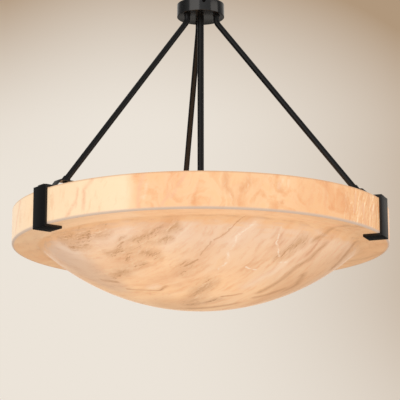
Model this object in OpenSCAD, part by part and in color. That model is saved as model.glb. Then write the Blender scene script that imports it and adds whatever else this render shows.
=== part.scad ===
// Dome chandelier: a marbled bowl held at its rim by three flat-bar clips on bent tube arms.
// The origin is the centre of the ceiling plane, +Z is up, and all sizes are millimetres.
// Outlines are drawn with x as the distance from the centre line and y as the height.

/* [Bowl] */
// Outside diameter of the band
bowl_d = 914.4; // [780:0.1:1100]
// Height of the band
band_h = 84.4; // [62:0.1:110]
// Wall of the band, the ledge and the dome
bowl_wall = 6; // [5:0.1:8]
// From the band's outside in to where dome and ledge would meet
ledge_w = 69.5; // [66:0.1:100]
// Depth of the dome below the ledge
dome_depth = 146.5; // [110:0.5:190]
// Radius of the hollow fillet under the ledge, where the dome begins
dome_fillet = 36; // [12:0.5:40]
// Radius of the ledge's lower outside edge
ledge_edge = 4; // [1:0.1:4.8]
// Radius of both edges of the rim
rim_edge = 1.4; // [0.5:0.1:1.8]
// From the ceiling down to the ledge
bowl_drop = 623.6; // [500:0.1:900]

/* [Canopy] */
// Outside diameter of the canopy
canopy_d = 118.3; // [112:0.1:150]
// Height of the canopy
canopy_h = 32; // [31:0.1:50]
// Thickness of the canopy's side wall
canopy_wall = 1.5; // [1:0.1:2]
// Thickness of the canopy's floor, which carries the arms
canopy_floor = 3; // [2:0.1:4]
// Radius of the canopy's lower edge
canopy_edge = 0.8; // [0.4:0.1:1.4]
// Height of the canopy screws below the ceiling
side_screw_z = 7; // [6.5:0.1:8]
// Thread diameter of the canopy screws
side_screw_d = 5; // [4:0.1:5.5]
// Diameter of a canopy screw's head
side_head_d = 8.5; // [7:0.1:10]
// Height of a canopy screw's head
side_head_h = 3.5; // [2:0.1:5]

/* [Mounting strap] */
// Width of the strap
strap_w = 20; // [17:0.1:22]
// Thickness of the strap
strap_t = 2.5; // [2:0.1:3]
// Height of the ears that take the canopy screws
ear_h = 14; // [12:0.1:17]
// Distance between the middles of the two slots
slot_pitch = 79.4; // [76:0.1:84]
// Length of a slot from end to end
slot_l = 14.2; // [10:0.1:16]
// Width of a slot
slot_w = 4.6; // [4:0.1:5.2]
// From the centre to the earth screw
earth_y = 22; // [20:0.1:24]
// Thread diameter of the earth screw
earth_d = 4; // [3:0.1:4.5]

/* [Arms and stem] */
// Outside diameter of an arm's tube
arm_d = 14.3; // [13:0.1:16]
// Wall of an arm's tube
arm_wall = 2; // [1.5:0.1:2.4]
// Distance of an arm's top from the centre
arm_top_r = 42.2; // [39:0.1:43.5]
// From the canopy's underside down to the bend's corner
arm_neck = 19; // [16:0.1:30]
// Radius of the bend on the tube's axis
arm_bend_r = 25; // [18:0.5:30]
// Diameter of the collar under the canopy
collar_d = 17.2; // [16.5:0.1:20]
// Height of that collar
collar_h = 3; // [2:0.1:5]
// Diameter of the ferrule at an arm's foot
ferrule_d = 18.5; // [17.5:0.1:22]
// Length of the ferrule on the arm's axis
ferrule_l = 8.8; // [8.4:0.1:11]
// Length of the ferrule's plug inside the tube
plug_l = 20; // [10:0.5:40]
// Outside diameter of the stem
stem_d = 15.9; // [14.4:0.1:20]
// Wall of the stem
stem_wall = 1.6; // [1:0.1:1.8]
// How far the stem's nipples reach into it
nipple_in = 12; // [8:0.5:20]
// Width across the flats of an arm's nut
arm_nut_w = 17; // [15:0.1:18]
// Width across the flats of the stem's nuts
stem_nut_w = 22; // [18:0.1:24]
// Height of those nuts
nut_h = 5; // [4:0.1:6]

/* [Clips and feet] */
// Width of the clip's flat bar
clip_w = 50.8; // [40:0.1:60]
// Thickness of the clip's flat bar
clip_t = 6; // [5:0.1:8]
// Length of the lower tab from the clip's face
lower_tab = 46.8; // [44:0.1:48]
// Length of the upper tab from the clip's face
upper_tab = 33.6; // [32:0.1:36]
// Radius of the clip's outside corners
clip_edge = 1.4; // [0.5:0.1:2]
// Thickness of the liner between clip and bowl
pad_t = 0.8; // [0.6:0.1:1.5]
// How far the liner stops short of the clip's sides
pad_inset = 1.4; // [0.5:0.1:4]
// Gap between the liner and the band
pad_gap = 0.6; // [0.3:0.1:1.5]
// Width of the foot's strap
foot_w = 25; // [20:0.1:30]
// Thickness of the foot's strap
foot_t = 3; // [2.5:0.1:3.6]
// How far the foot's step rises
foot_lift = 18.1; // [15:0.1:24]
// How far the step leans inwards
foot_lean = 13.6; // [11:0.1:20]
// From the upper tab's end in to the step
foot_step = 3.4; // [1:0.1:6]
// Bend radius inside the foot's corners
foot_bend = 2; // [1:0.1:3]
// From the step's top in to the arm's seat
seat_in = 18.6; // [18:0.1:22]
// Diameter of the screw under an arm's foot
foot_screw_d = 6; // [5:0.1:6.5]
// How far that screw reaches into the ferrule
foot_screw_in = 6; // [4:0.1:6.4]
// How far past the ledge's edge a released clip stops
release_gap = 2.6; // [1:0.1:6]
// Thread diameter of the countersunk clip screws
clip_screw_d = 5; // [4:0.1:5.5]
// Distance between the two clip screws
clip_screw_pitch = 14; // [12:0.1:15]

/* [Lamp cluster] */
// Direction of the first lamp
lamp_turn = 232; // [200:1:250]
// Height of the lamps' axes above the ledge
lamp_z = 28; // [26:0.5:34]
// Diameter of the cluster's body
hub_d = 96; // [92:0.5:110]
// Height of the cluster's body
hub_h = 34; // [34:0.5:44]
// Sheet thickness of the body and its cover
hub_wall = 1.5; // [1:0.1:2]
// From the body out to a lampholder
lamp_reach = 40; // [30:0.5:60]
// Outside diameter of a lampholder
holder_d = 38; // [34:0.1:42]
// Length of a lampholder
holder_l = 44; // [42:0.5:48]
// Thickness of a lampholder's back
holder_back = 12; // [10:0.5:13]
// Inside diameter of the screw shell
shell_d = 26.1; // [25.8:0.1:26.8]
// Sheet thickness of the screw shell
shell_wall = 0.5; // [0.4:0.1:0.8]
// Diameter of a lamp nipple
lamp_nipple_d = 10; // [9:0.1:11]
// Bore of a lamp nipple
lamp_bore = 6; // [5:0.1:7]
// Diameter of a lamp's globe
globe_d = 60; // [50:0.5:64]
// Length of a lamp from its tip contact
lamp_l = 108; // [98:0.5:116]
// Thickness of a lamp's glass
glass_wall = 0.8; // [0.6:0.1:1.2]

/* [Wiring] */
// Diameter of the supply cable
cable_d = 7; // [6:0.1:7.5]
// Bore of the stem's nipples
cable_bore = 8; // [7.8:0.1:9]
// Diameter of a single wire
wire_d = 2.4; // [1.8:0.1:2.8]
// Diameter of a wire connector
connector_d = 10; // [8:0.1:12]
// Length of a wire connector
connector_l = 18; // [14:0.5:20]

/* [Fits] */
// Radial clearance of a thread or plug that turns or slides
fit = 0.05; // [0.02:0.01:0.09]
// Radial clearance of a plain screw hole or slot
slack = 0.3; // [0.2:0.05:0.5]
// Gap between flat hardware and a curved wall
wall_gap = 0.3; // [0.1:0.05:0.3]
// Gap between the bowl and the liners that it rests on, and between a lamp's tip and its contact
rest_gap = 0.1; // [0.05:0.01:0.2]

/* [Hidden] */
$fn = 96;

// Bowl
bowl_r = bowl_d / 2;
ledge_z = -bowl_drop;
rim_z = ledge_z + band_h;
dome_r = bowl_r - ledge_w;
dome_arc = (dome_r * dome_r + dome_depth * dome_depth) / (2 * dome_depth);
dome_mid = dome_arc - dome_depth;
fillet_r = sqrt(pow(dome_arc + dome_fillet, 2) - pow(dome_mid + dome_fillet, 2));
bowl_facets = 180;

// Canopy and strap
canopy_r = canopy_d / 2;
canopy_in = canopy_r - canopy_wall;
floor_z = canopy_floor - canopy_h;
ear_y = sqrt(pow(canopy_in, 2) - pow(strap_w / 2, 2)) - wall_gap;
strap_bend = 1.5;
side_tip = 1.5;
screw_slot_w = 1.2;
screw_slot_h = 1;
soft_edge = 0.4;
washer_t = 1;
thread_out = 2;

// Arms and stem
arms = 3;
first_arm = 90;
arm_in = arm_d / 2 - arm_wall;
arm_nipple_r = arm_in - fit;
arm_nipple_bore = 3;
stem_in = stem_d / 2 - stem_wall;
stem_nipple_r = stem_in - fit;

// Clips and feet
face_r = bowl_r + pad_gap + pad_t + clip_t;
pad_top = rim_z + rest_gap + pad_t;
pad_bottom = ledge_z - rest_gap - pad_t;
clip_top = pad_top + clip_t;
clip_bottom = pad_bottom - clip_t;
step_low_r = face_r - upper_tab - foot_step;
step_high_r = step_low_r - foot_lean;
shelf_z = clip_top + foot_lift + foot_t;
seat_r = step_high_r - seat_in;
travel = lower_tab - (face_r - bowl_r) + release_gap;
foot_end = 3.6;
shelf_end = 8;
head_d = 1.7 * foot_screw_d;
head_h = 0.6 * foot_screw_d;
head_washer_r = 0.65 * head_d;
clip_screw_in = 10.6;
sink_d = clip_screw_d * 1.8;

// The arm's axis runs from the bend's corner down to the middle of its seat
corner_z = -canopy_h - arm_neck;
arm_slope = atan2(corner_z - shelf_z, seat_r - arm_top_r);
arm_bend = 90 - arm_slope;
arm_tangent = arm_bend_r * tan(arm_bend / 2);
arm_run = norm([seat_r - arm_top_r, corner_z - shelf_z]) - arm_tangent - ferrule_l;
arm_top_z = -canopy_h - collar_h;
arm_nipple_z = corner_z + arm_tangent + wall_gap;
bend_swell = 0.05;
bend_lap = 1;

// Lamp cluster, measured along a lamp's axis from the centre line
lamps = 6;
hub_r = hub_d / 2;
axis_z = ledge_z + lamp_z;
hub_top = axis_z + hub_h / 2;
hub_low = axis_z - hub_h / 2;
holder_x = hub_r + lamp_reach;
socket_x = holder_x + holder_back;
shell_l = 28;
lip_step = 2;
lip_l = 7;
nipple_seat = 6;
contact_r = 3.5;
contact_l = 2.5;
contact_sink = 1;
tip_x = socket_x - contact_sink + contact_l + rest_gap;
cap_tip_r = 4.5;
cap_tip_h = 2;
cap_cone_h = 3;
cap_l = 27;
neck_r = 12.9;
neck_straight = 4;
lamp_nut_w = 14;
lamp_nut_h = 4;
flange_w = 12;
hub_edge = 3;
cover_screw_d = 4;
block_r = 12;
block_h = 12;
cable_end_z = axis_z + block_h / 2;
cable_out = 11;
cable_top_z = floor_z + cable_out;
wire_bend = 4;
wire_rise = 0.6;
wire_tab = 0.8;
wire_gap = 0.3;
wire_lift = 0.1;
core_x = wire_d / 2 + wire_gap;
core_y = sqrt(pow(wire_d + wire_lift, 2) - pow(core_x, 2));
tab_lap = 0.6;
connector_r = 14;
connector_tip_r = 3;
hub_wall_in = hub_r - hub_wall;
lamp_nut_r = lamp_nut_w / sqrt(3);
lamp_nut_x = sqrt(pow(hub_wall_in, 2) - pow(lamp_nut_r, 2)) - lamp_nut_h;

// Colours
black = "#26241f";
zinc = "#b9bcbd";
stone = "#f2c79b";
felt = "#d8d2c4";
brass = "#c9a24b";
porcelain = "#efece2";
frosted = "#fff3d6";
plastic = "#d9772b";
green = "#4b8a4a";
red = "#8a2f2a";
sheath = "#3a3a3a";

// Small helpers
function polar(a) = [cos(a), sin(a)];
function unit(v) = v / norm(v);

// Points that replace corner p, between its neighbours a and b, by an arc of radius r
function arc_corner(a, p, b, r, n) =
    r == 0 ? [p] :
    let (u = unit(a - p))
    let (v = unit(b - p))
    let (half = acos(u * v) / 2)
    let (c = p + unit(u + v) * r / sin(half))
    let (s = p + u * r / tan(half) - c)
    let (e = p + v * r / tan(half) - c)
    let (first = atan2(s.y, s.x))
    let (turn = atan2(e.y, e.x) - first)
    let (sweep = turn > 180 ? turn - 360 : turn < -180 ? turn + 360 : turn)
    [for (i = [0:n]) c + r * polar(first + sweep * i / n)];

// A closed outline with one radius for each corner
function rounded(pts, radii, n = 5) =
    let (m = len(pts))
    [for (i = [0:m - 1]) each arc_corner(pts[(i + m - 1) % m], pts[i], pts[(i + 1) % m], radii[i], n)];

// The left-hand normal of the line from a to b
function left_of(a, b) = let (u = unit(b - a)) [-u.y, u.x];

// The path moved by t to its left, with mitred corners
function beside(path, t) =
    let (m = len(path) - 1)
    [for (i = [0:m])
        let (n0 = left_of(path[max(i - 1, 0)], path[max(i, 1)]))
        let (n1 = left_of(path[min(i, m - 1)], path[min(i + 1, m)]))
        path[i] + (n0 + n1) * t / (1 + n0 * n1)];

// The outline of a strip of thickness t to the left of a path, with inside bend radius r
function strip(path, t, r) =
    let (m = len(path) - 1)
    let (far = beside(path, t))
    let (turn = [for (i = [1:m - 1]) cross(path[i] - path[i - 1], path[i + 1] - path[i])])
    let (near_r = [0, for (s = turn) s > 0 ? r + t : r, 0])
    let (far_r = [0, for (s = turn) s > 0 ? r : r + t, 0])
    rounded(concat(path, [for (i = [m:-1:0]) far[i]]), concat(near_r, [for (i = [m:-1:0]) far_r[i]]));

// A plain tube or rod along +Z
module tube(r_out, r_in, h) {
    difference() {
        cylinder(r = r_out, h = h);
        translate([0, 0, -1])
            cylinder(r = r_in, h = h + 2);
    }
}

// A solid round block along +Z, with the radii of its lower and upper edges
module turned(r, h, low, high) {
    rotate_extrude()
        polygon(rounded([[0, 0], [r, 0], [r, h], [0, h]], [0, low, high, 0]));
}

// A hexagon across the flats w, bored, along +Z
module nut(w, h, r_in) {
    difference() {
        cylinder(r = w / sqrt(3), h = h, $fn = 6);
        translate([0, 0, -1])
            cylinder(r = r_in, h = h + 2);
    }
}

// Stands an outline of x and height on the XZ plane, w wide about it
module upright(w) {
    translate([0, w / 2, 0])
        rotate([90, 0, 0])
            linear_extrude(height = w)
                children();
}

// Copies or single places round the centre line
module at_arm(k) {
    rotate([0, 0, first_arm + 360 / arms * k])
        children();
}

module at_arms() {
    for (k = [0:arms - 1])
        at_arm(k) children();
}

// A lamp's own axis lies along +Z here, starting on the centre line
module at_lamp(k) {
    rotate([0, 0, lamp_turn + 360 / lamps * k])
        translate([0, 0, axis_z])
            rotate([0, 90, 0])
                children();
}

module at_lamps() {
    for (k = [0:lamps - 1])
        at_lamp(k) children();
}

// Mounting strap, along Y, with its ears turned down
module mounting_strap() {
    path = [[ear_y, -ear_h], [ear_y, 0], [-ear_y, 0], [-ear_y, -ear_h]];
    color(zinc)
        difference() {
            translate([-strap_w / 2, 0, 0])
                rotate([90, 0, 90])
                    linear_extrude(height = strap_w)
                        polygon(strip(path, strap_t, strap_bend));
            for (side = [-1, 1])
                translate([0, side * slot_pitch / 2, -strap_t - 1])
                    slot(slot_w / 2, slot_l - slot_w, strap_t + 2);
            translate([0, 0, -side_screw_z])
                rotate([90, 0, 0])
                    cylinder(r = side_screw_d / 2 + fit, h = 2 * canopy_d, center = true);
            translate([0, earth_y, -strap_t - 1])
                cylinder(r = earth_d / 2 + fit, h = strap_t + 2);
        }
}

// A slot along Y, l between the centres of its round ends
module slot(r, l, h) {
    for (end = [-1, 1])
        translate([0, end * l / 2, 0])
            cylinder(r = r, h = h);
    translate([-r, -l / 2, 0])
        cube([2 * r, l, h]);
}

module earth_screw() {
    color(green)
        translate([0, earth_y, 0]) {
            translate([0, 0, -strap_t - wire_tab - earth_d / 2])
                cylinder(r = earth_d, h = earth_d / 2);
            translate([0, 0, -strap_t - wire_tab])
                cylinder(r = earth_d / 2, h = strap_t + wire_tab);
        }
}

// Canopy: an open cup with holes for the arms, the stem and the side screws
module canopy() {
    outline = rounded(
        [[0, -canopy_h], [canopy_r, -canopy_h], [canopy_r, 0],
            [canopy_in, 0], [canopy_in, floor_z], [0, floor_z]],
        [0, canopy_edge, soft_edge, soft_edge, 1, 0]);
    color(black)
        difference() {
            rotate_extrude()
                polygon(outline);
            at_arms()
                translate([arm_top_r, 0, -canopy_h - 1])
                    cylinder(r = arm_nipple_r + fit, h = canopy_floor + 2);
            translate([0, 0, -canopy_h - 1])
                cylinder(r = stem_nipple_r + fit, h = canopy_floor + 2);
            translate([0, 0, -side_screw_z])
                rotate([90, 0, 0])
                    cylinder(r = side_screw_d / 2 + slack, h = 2 * canopy_d, center = true);
        }
}

// Canopy screw: a domed, slotted head outside and a thread through the ear
module canopy_screw(side) {
    shank = canopy_r + wall_gap - ear_y + strap_t + side_tip;
    head_y = canopy_r + wall_gap;
    color(black)
        translate([0, 0, -side_screw_z])
            rotate([side * -90, 0, 0]) {
                difference() {
                    translate([0, 0, head_y])
                        turned(side_head_d / 2, side_head_h, soft_edge, side_head_h / 3);
                    translate([-side_head_d, -screw_slot_w / 2, head_y + side_head_h - screw_slot_h])
                        cube([2 * side_head_d, screw_slot_w, side_head_h]);
                }
                translate([0, 0, head_y - shank])
                    cylinder(r = side_screw_d / 2, h = shank);
            }
}

// The bent axis of an arm as a solid of radius r, lengthened by extra at both ends.
// The straights run a little way into the bend, which is thicker by swell, as a pressed bend is.
module arm_solid(r, extra, swell) {
    high = corner_z + arm_tangent;
    low_x = arm_top_r + arm_bend_r * (1 - cos(arm_bend));
    low_z = high - arm_bend_r * sin(arm_bend);
    translate([arm_top_r, 0, high - bend_lap])
        cylinder(r = r, h = arm_top_z - high + bend_lap + extra);
    translate([arm_top_r + arm_bend_r, 0, high])
        rotate([90, 0, 0])
            rotate([0, 0, 180])
                rotate_extrude(angle = arm_bend)
                    translate([arm_bend_r, 0])
                        circle(r = r + swell);
    translate([low_x, 0, low_z])
        rotate([0, 90 + arm_slope, 0])
            translate([0, 0, -bend_lap])
                cylinder(r = r, h = arm_run + bend_lap + extra);
}

module arm(k) {
    color(black)
        at_arm(k)
            difference() {
                arm_solid(arm_d / 2, 0, bend_swell);
                arm_solid(arm_in, 1, -bend_swell);
            }
}

// Round collars between the arms and the canopy's underside
module arm_collars() {
    color(black)
        at_arms()
            translate([arm_top_r, 0, arm_top_z])
                difference() {
                    turned(collar_d / 2, collar_h, soft_edge, soft_edge);
                    translate([0, 0, -1])
                        cylinder(r = arm_nipple_r + fit, h = collar_h + 2);
                }
}

// Nipples from the arms' straight necks up through the collars and the canopy's floor
module arm_nipples() {
    nipple_l = floor_z + washer_t + nut_h + thread_out - arm_nipple_z;
    color(zinc)
        at_arms()
            translate([arm_top_r, 0, arm_nipple_z])
                tube(arm_nipple_r, arm_nipple_bore, nipple_l);
}

// Washers and hexagon nuts on the canopy's floor
module arm_nuts() {
    color(zinc)
        at_arms()
            translate([arm_top_r, 0, floor_z]) {
                tube(arm_nut_w / 2, arm_nipple_r + fit, washer_t);
                translate([0, 0, washer_t])
                    nut(arm_nut_w, nut_h, arm_nipple_r + fit);
            }
}

// Ferrules: a plug in the arm's end and a collar cut level where it stands on the foot
module arm_ferrules() {
    reach = ferrule_l + ferrule_d;
    color(black)
        at_arms()
            difference() {
                translate([seat_r, 0, shelf_z])
                    rotate([0, 90 + arm_slope, 0]) {
                        translate([0, 0, -ferrule_l])
                            cylinder(r = ferrule_d / 2, h = reach);
                        translate([0, 0, -ferrule_l - plug_l])
                            cylinder(r = arm_in - fit, h = plug_l);
                    }
                translate([seat_r - reach, -reach, shelf_z - 2 * reach])
                    cube([2 * reach, 2 * reach, 2 * reach]);
                translate([seat_r, 0, shelf_z - 1])
                    cylinder(r = foot_screw_d / 2 + fit, h = foot_screw_in + 1);
            }
}

// Hexagon screws and washers under the feet
module foot_screws() {
    low = shelf_z - foot_t - washer_t;
    color(black)
        at_arms()
            translate([seat_r, 0, low]) {
                tube(head_washer_r, foot_screw_d / 2 + fit, washer_t);
                translate([0, 0, -head_h])
                    cylinder(r = head_d / 2, h = head_h, $fn = 6);
                cylinder(r = foot_screw_d / 2, h = washer_t + foot_t + foot_screw_in - fit);
            }
}

module stem() {
    color(black)
        translate([0, 0, hub_top])
            tube(stem_d / 2, stem_in, -canopy_h - hub_top);
}

// Nipples in the stem's two ends, through the canopy's floor and the cluster's top
module stem_nipples() {
    high_end = floor_z + nut_h + thread_out;
    low_end = hub_top - hub_wall - nut_h - thread_out;
    color(zinc) {
        translate([0, 0, -canopy_h - nipple_in])
            tube(stem_nipple_r, cable_bore / 2, high_end + canopy_h + nipple_in);
        translate([0, 0, low_end])
            tube(stem_nipple_r, cable_bore / 2, hub_top + nipple_in - low_end);
    }
}

module stem_nuts() {
    color(zinc) {
        translate([0, 0, floor_z])
            nut(stem_nut_w, nut_h, stem_nipple_r + fit);
        translate([0, 0, hub_top - hub_wall - nut_h])
            nut(stem_nut_w, nut_h, stem_nipple_r + fit);
    }
}

// Half the section of the space that the dome's skin bounds, moved inwards by inset.
// It ends at the ledge, a little way above it for a clean cut.
module dome_space(inset, above) {
    low = ledge_z + inset;
    arc = dome_arc - inset;
    middle = ledge_z + dome_mid;
    hollow = [fillet_r, ledge_z - dome_fillet];
    touch = [0, middle] + unit(hollow - [0, middle]) * arc;
    intersection() {
        translate([0, middle])
            circle(r = arc, $fn = bowl_facets);
        translate([0, middle - arc])
            square([touch.x, low - middle + arc]);
    }
    difference() {
        polygon([[0, low], [0, touch.y], touch, [hollow.x, touch.y], [hollow.x, low]]);
        translate(hollow)
            circle(r = dome_fillet + inset, $fn = bowl_facets);
    }
    translate([0, low])
        square([hollow.x, above]);
}

// Bowl: a shallow dome and the flat ledge round it, one moulded wall
module bowl() {
    color(stone)
        rotate_extrude($fn = bowl_facets)
            difference() {
                union() {
                    translate([0, ledge_z])
                        square([bowl_r, bowl_wall]);
                    dome_space(0, bowl_wall);
                }
                dome_space(bowl_wall, 1);
                translate([bowl_r - ledge_edge, ledge_z])
                    difference() {
                        translate([0, -1])
                            square([ledge_edge + 1, ledge_edge + 1]);
                        translate([0, ledge_edge])
                            circle(r = ledge_edge);
                    }
            }
}

// Band: an upright ring cemented on the ledge's edge, with a rounded rim
module bowl_band() {
    foot = ledge_z + bowl_wall;
    color(stone)
        rotate_extrude($fn = bowl_facets)
            translate([bowl_r - bowl_wall, foot])
                polygon(rounded(
                    [[0, 0], [bowl_wall, 0], [bowl_wall, rim_z - foot], [0, rim_z - foot]],
                    [0, 0, rim_edge, rim_edge]));
}

// Rim clip: a C of flat bar round the band, drilled for the foot's screws
module rim_clip(k) {
    inner = face_r - clip_t;
    outline = rounded(
        [[face_r - lower_tab, clip_bottom], [face_r, clip_bottom], [face_r, clip_top],
            [face_r - upper_tab, clip_top], [face_r - upper_tab, pad_top],
            [inner, pad_top], [inner, pad_bottom],
            [face_r - lower_tab, pad_bottom]],
        [soft_edge, clip_edge, clip_edge, soft_edge, soft_edge, 0, 0, soft_edge]);
    color(black)
        at_arm(k)
            difference() {
                upright(clip_w)
                    polygon(outline);
                at_clip_screws()
                    translate([0, 0, -clip_t - 1])
                        cylinder(r = clip_screw_d / 2 + fit, h = clip_t + 2);
            }
}

// Places of the two countersunk screws, on top of the clip
module at_clip_screws() {
    for (i = [0, 1])
        translate([face_r - clip_screw_in - clip_screw_pitch * i, 0, clip_top])
            children();
}

// Clip pad: a thin liner inside the clip
module clip_pad(k) {
    inner = face_r - clip_t;
    path = [[face_r - lower_tab + pad_inset, pad_bottom], [inner, pad_bottom],
        [inner, pad_top], [face_r - upper_tab + pad_inset, pad_top]];
    color(felt)
        at_arm(k)
            upright(clip_w - 2 * pad_inset)
                polygon(strip(path, pad_t, 0));
}

// Foot: a joggled strap, screwed to the clip, with a long slot under the arm
module arm_foot(k) {
    low = clip_top + foot_lift;
    path = [[seat_r - travel - shelf_end, low], [step_high_r, low], [step_low_r, clip_top],
        [face_r - foot_end, clip_top]];
    color(black)
        at_arm(k)
            difference() {
                upright(foot_w)
                    polygon(strip(path, foot_t, foot_bend));
                translate([seat_r - travel / 2, 0, low - 1])
                    rotate([0, 0, 90])
                        slot(foot_screw_d / 2 + slack, travel, foot_t + 2);
                at_clip_screws() {
                    translate([0, 0, -1])
                        cylinder(r = clip_screw_d / 2 + slack, h = foot_t + 2);
                    sink(slack);
                }
            }
}

// A countersunk head's cone, flush with the foot's top
module sink(gap) {
    depth = (sink_d - clip_screw_d) / 2;
    translate([0, 0, foot_t - depth])
        cylinder(r1 = clip_screw_d / 2 + gap, r2 = sink_d / 2 + gap, h = depth);
}

module clip_screws(k) {
    color(black)
        at_arm(k)
            at_clip_screws() {
                translate([0, 0, -clip_t + slack])
                    cylinder(r = clip_screw_d / 2, h = clip_t - slack + foot_t);
                sink(0);
            }
}

// Cluster body: a shallow drum with a flange inside its open bottom
module cluster_body() {
    outline = rounded(
        [[0, hub_top], [hub_r, hub_top], [hub_r, hub_low], [hub_wall_in - flange_w, hub_low],
            [hub_wall_in - flange_w, hub_low + hub_wall], [hub_wall_in, hub_low + hub_wall],
            [hub_wall_in, hub_top - hub_wall], [0, hub_top - hub_wall]],
        [0, hub_edge, soft_edge, 0, 0, 0, hub_edge - hub_wall, 0]);
    color(black)
        difference() {
            rotate_extrude()
                polygon(outline);
            translate([0, 0, hub_top - hub_wall - 1])
                cylinder(r = stem_nipple_r + fit, h = hub_wall + 2);
            at_lamps()
                cylinder(r = lamp_nipple_d / 2 + fit, h = hub_d);
            at_cover_screws()
                translate([0, 0, hub_low - 1])
                    cylinder(r = cover_screw_d / 2 + fit, h = hub_wall + 2);
        }
}

module at_cover_screws() {
    for (k = [0:2])
        rotate([0, 0, 120 * k])
            translate([hub_wall_in - flange_w / 2, 0, 0])
                children();
}

module cluster_cover() {
    color(black)
        difference() {
            translate([0, 0, hub_low - hub_wall])
                turned(hub_r, hub_wall, soft_edge, 0);
            at_cover_screws()
                translate([0, 0, hub_low - hub_wall - 1])
                    cylinder(r = cover_screw_d / 2 + slack, h = hub_wall + 2);
        }
}

module cover_screws() {
    head_low = hub_low - hub_wall - cover_screw_d / 2;
    color(zinc)
        at_cover_screws() {
            translate([0, 0, head_low])
                turned(cover_screw_d, cover_screw_d / 2, cover_screw_d / 4, 0);
            translate([0, 0, hub_low - hub_wall])
                cylinder(r = cover_screw_d / 2, h = 2 * hub_wall + thread_out);
        }
}

// Threaded tubes that carry the lampholders
module lamp_nipples() {
    first = lamp_nut_x - thread_out;
    color(zinc)
        at_lamps()
            translate([0, 0, first])
                tube(lamp_nipple_d / 2, lamp_bore / 2, holder_x + nipple_seat - first);
}

module lamp_nuts() {
    color(zinc)
        at_lamps() {
            translate([0, 0, lamp_nut_x])
                nut(lamp_nut_w, lamp_nut_h, lamp_nipple_d / 2 + fit);
            translate([0, 0, hub_r])
                nut(lamp_nut_w, lamp_nut_h, lamp_nipple_d / 2 + fit);
        }
}

// Lampholder: a glazed body with a stepped back, a waist and a lip
module lampholder(k) {
    back_r = 0.3 * holder_d;
    body_r = holder_d / 2;
    waist_r = body_r - lip_step;
    outline = rounded(
        [[0, 0], [back_r, 0], [back_r, holder_back / 3], [waist_r, 0.8 * holder_back],
            [waist_r, holder_l - lip_l - lip_step], [body_r, holder_l - lip_l],
            [body_r, holder_l], [0, holder_l]],
        [0, 1, 2, 3, 1, 1, 1, 0]);
    color(porcelain)
        at_lamp(k)
            translate([0, 0, holder_x])
                difference() {
                    rotate_extrude()
                        polygon(outline);
                    translate([0, 0, holder_back])
                        cylinder(r = shell_d / 2 + shell_wall + fit, h = holder_l);
                    translate([0, 0, -1])
                        cylinder(r = lamp_nipple_d / 2 + fit, h = nipple_seat + 1);
                    cylinder(r = wire_d / 2 + fit, h = holder_back);
                    translate([0, 0, holder_back - contact_sink])
                        cylinder(r = contact_r + fit, h = contact_sink + 1);
                }
}

module screw_shells() {
    color(brass)
        at_lamps()
            translate([0, 0, socket_x])
                tube(shell_d / 2 + shell_wall, shell_d / 2, shell_l);
}

module centre_contacts() {
    color(brass)
        at_lamps()
            translate([0, 0, socket_x - contact_sink])
                cylinder(r = contact_r, h = contact_l);
}

// Lamp cap: tip, insulating cone and threaded barrel
module bulb_cap(k) {
    barrel_r = shell_d / 2 - fit;
    barrel_x = cap_tip_h + cap_cone_h;
    color(zinc)
        at_lamp(k)
            translate([0, 0, tip_x])
                rotate_extrude()
                    polygon([[0, 0], [cap_tip_r, 0], [cap_tip_r, cap_tip_h],
                        [barrel_r - cap_cone_h, cap_tip_h], [barrel_r, barrel_x], [barrel_r, cap_l], [0, cap_l]]);
}

// Half the section of a lamp's glass, moved inwards by inset
module bulb_half(inset) {
    globe_r = globe_d / 2;
    globe_y = lamp_l - globe_r;
    rise = globe_y - cap_l - neck_straight;
    blend = (pow(neck_r, 2) + pow(rise, 2) - pow(globe_r, 2)) / (2 * (globe_r - neck_r));
    flare = [neck_r + blend, cap_l + neck_straight];
    touch = [0, globe_y] + unit(flare - [0, globe_y]) * (globe_r - inset);
    intersection() {
        union() {
            translate([0, globe_y])
                circle(r = globe_r - inset);
            translate([0, cap_l])
                square([neck_r - inset, neck_straight]);
            difference() {
                polygon([[0, flare.y], flare, touch, [0, touch.y]]);
                translate(flare)
                    circle(r = blend + inset);
            }
        }
        translate([0, cap_l])
            square([globe_d, lamp_l]);
    }
}

module bulb(k) {
    color(frosted)
        at_lamp(k)
            translate([0, 0, tip_x])
                rotate_extrude()
                    difference() {
                        bulb_half(0);
                        bulb_half(glass_wall);
                    }
}

// Cable inside the stem, from the terminal block up into the canopy, with two bent wires
module supply_cable() {
    color(sheath) {
        translate([0, 0, cable_end_z])
            cylinder(r = cable_d / 2, h = cable_top_z - cable_end_z);
        for (side = [0, 180])
            rotate([0, 0, side])
                bent_wire(connector_r);
    }
}

// A wire up out of the cable and outwards to a distance of r
module bent_wire(r) {
    translate([core_x, 0, cable_top_z]) {
        cylinder(r = wire_d / 2, h = wire_rise);
        translate([wire_bend, 0, wire_rise])
            rotate([90, 0, 0])
                rotate([0, 0, 90])
                    rotate_extrude(angle = 90)
                        translate([wire_bend, 0])
                            circle(r = wire_d / 2);
        translate([wire_bend, 0, wire_rise + wire_bend])
            rotate([0, 90, 0])
                cylinder(r = wire_d / 2, h = r - core_x - wire_bend);
    }
}

module wire_connectors() {
    color(plastic)
        for (side = [0, 180])
            rotate([0, 0, side])
                translate([connector_r, 0, cable_top_z + wire_rise + wire_bend])
                    rotate([0, 90, 0])
                        rotate_extrude()
                            polygon(rounded(
                                [[0, 0], [connector_d / 2, 0], [connector_tip_r, connector_l], [0, connector_l]],
                                [0, soft_edge, 1.5, 0]));
}

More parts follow.
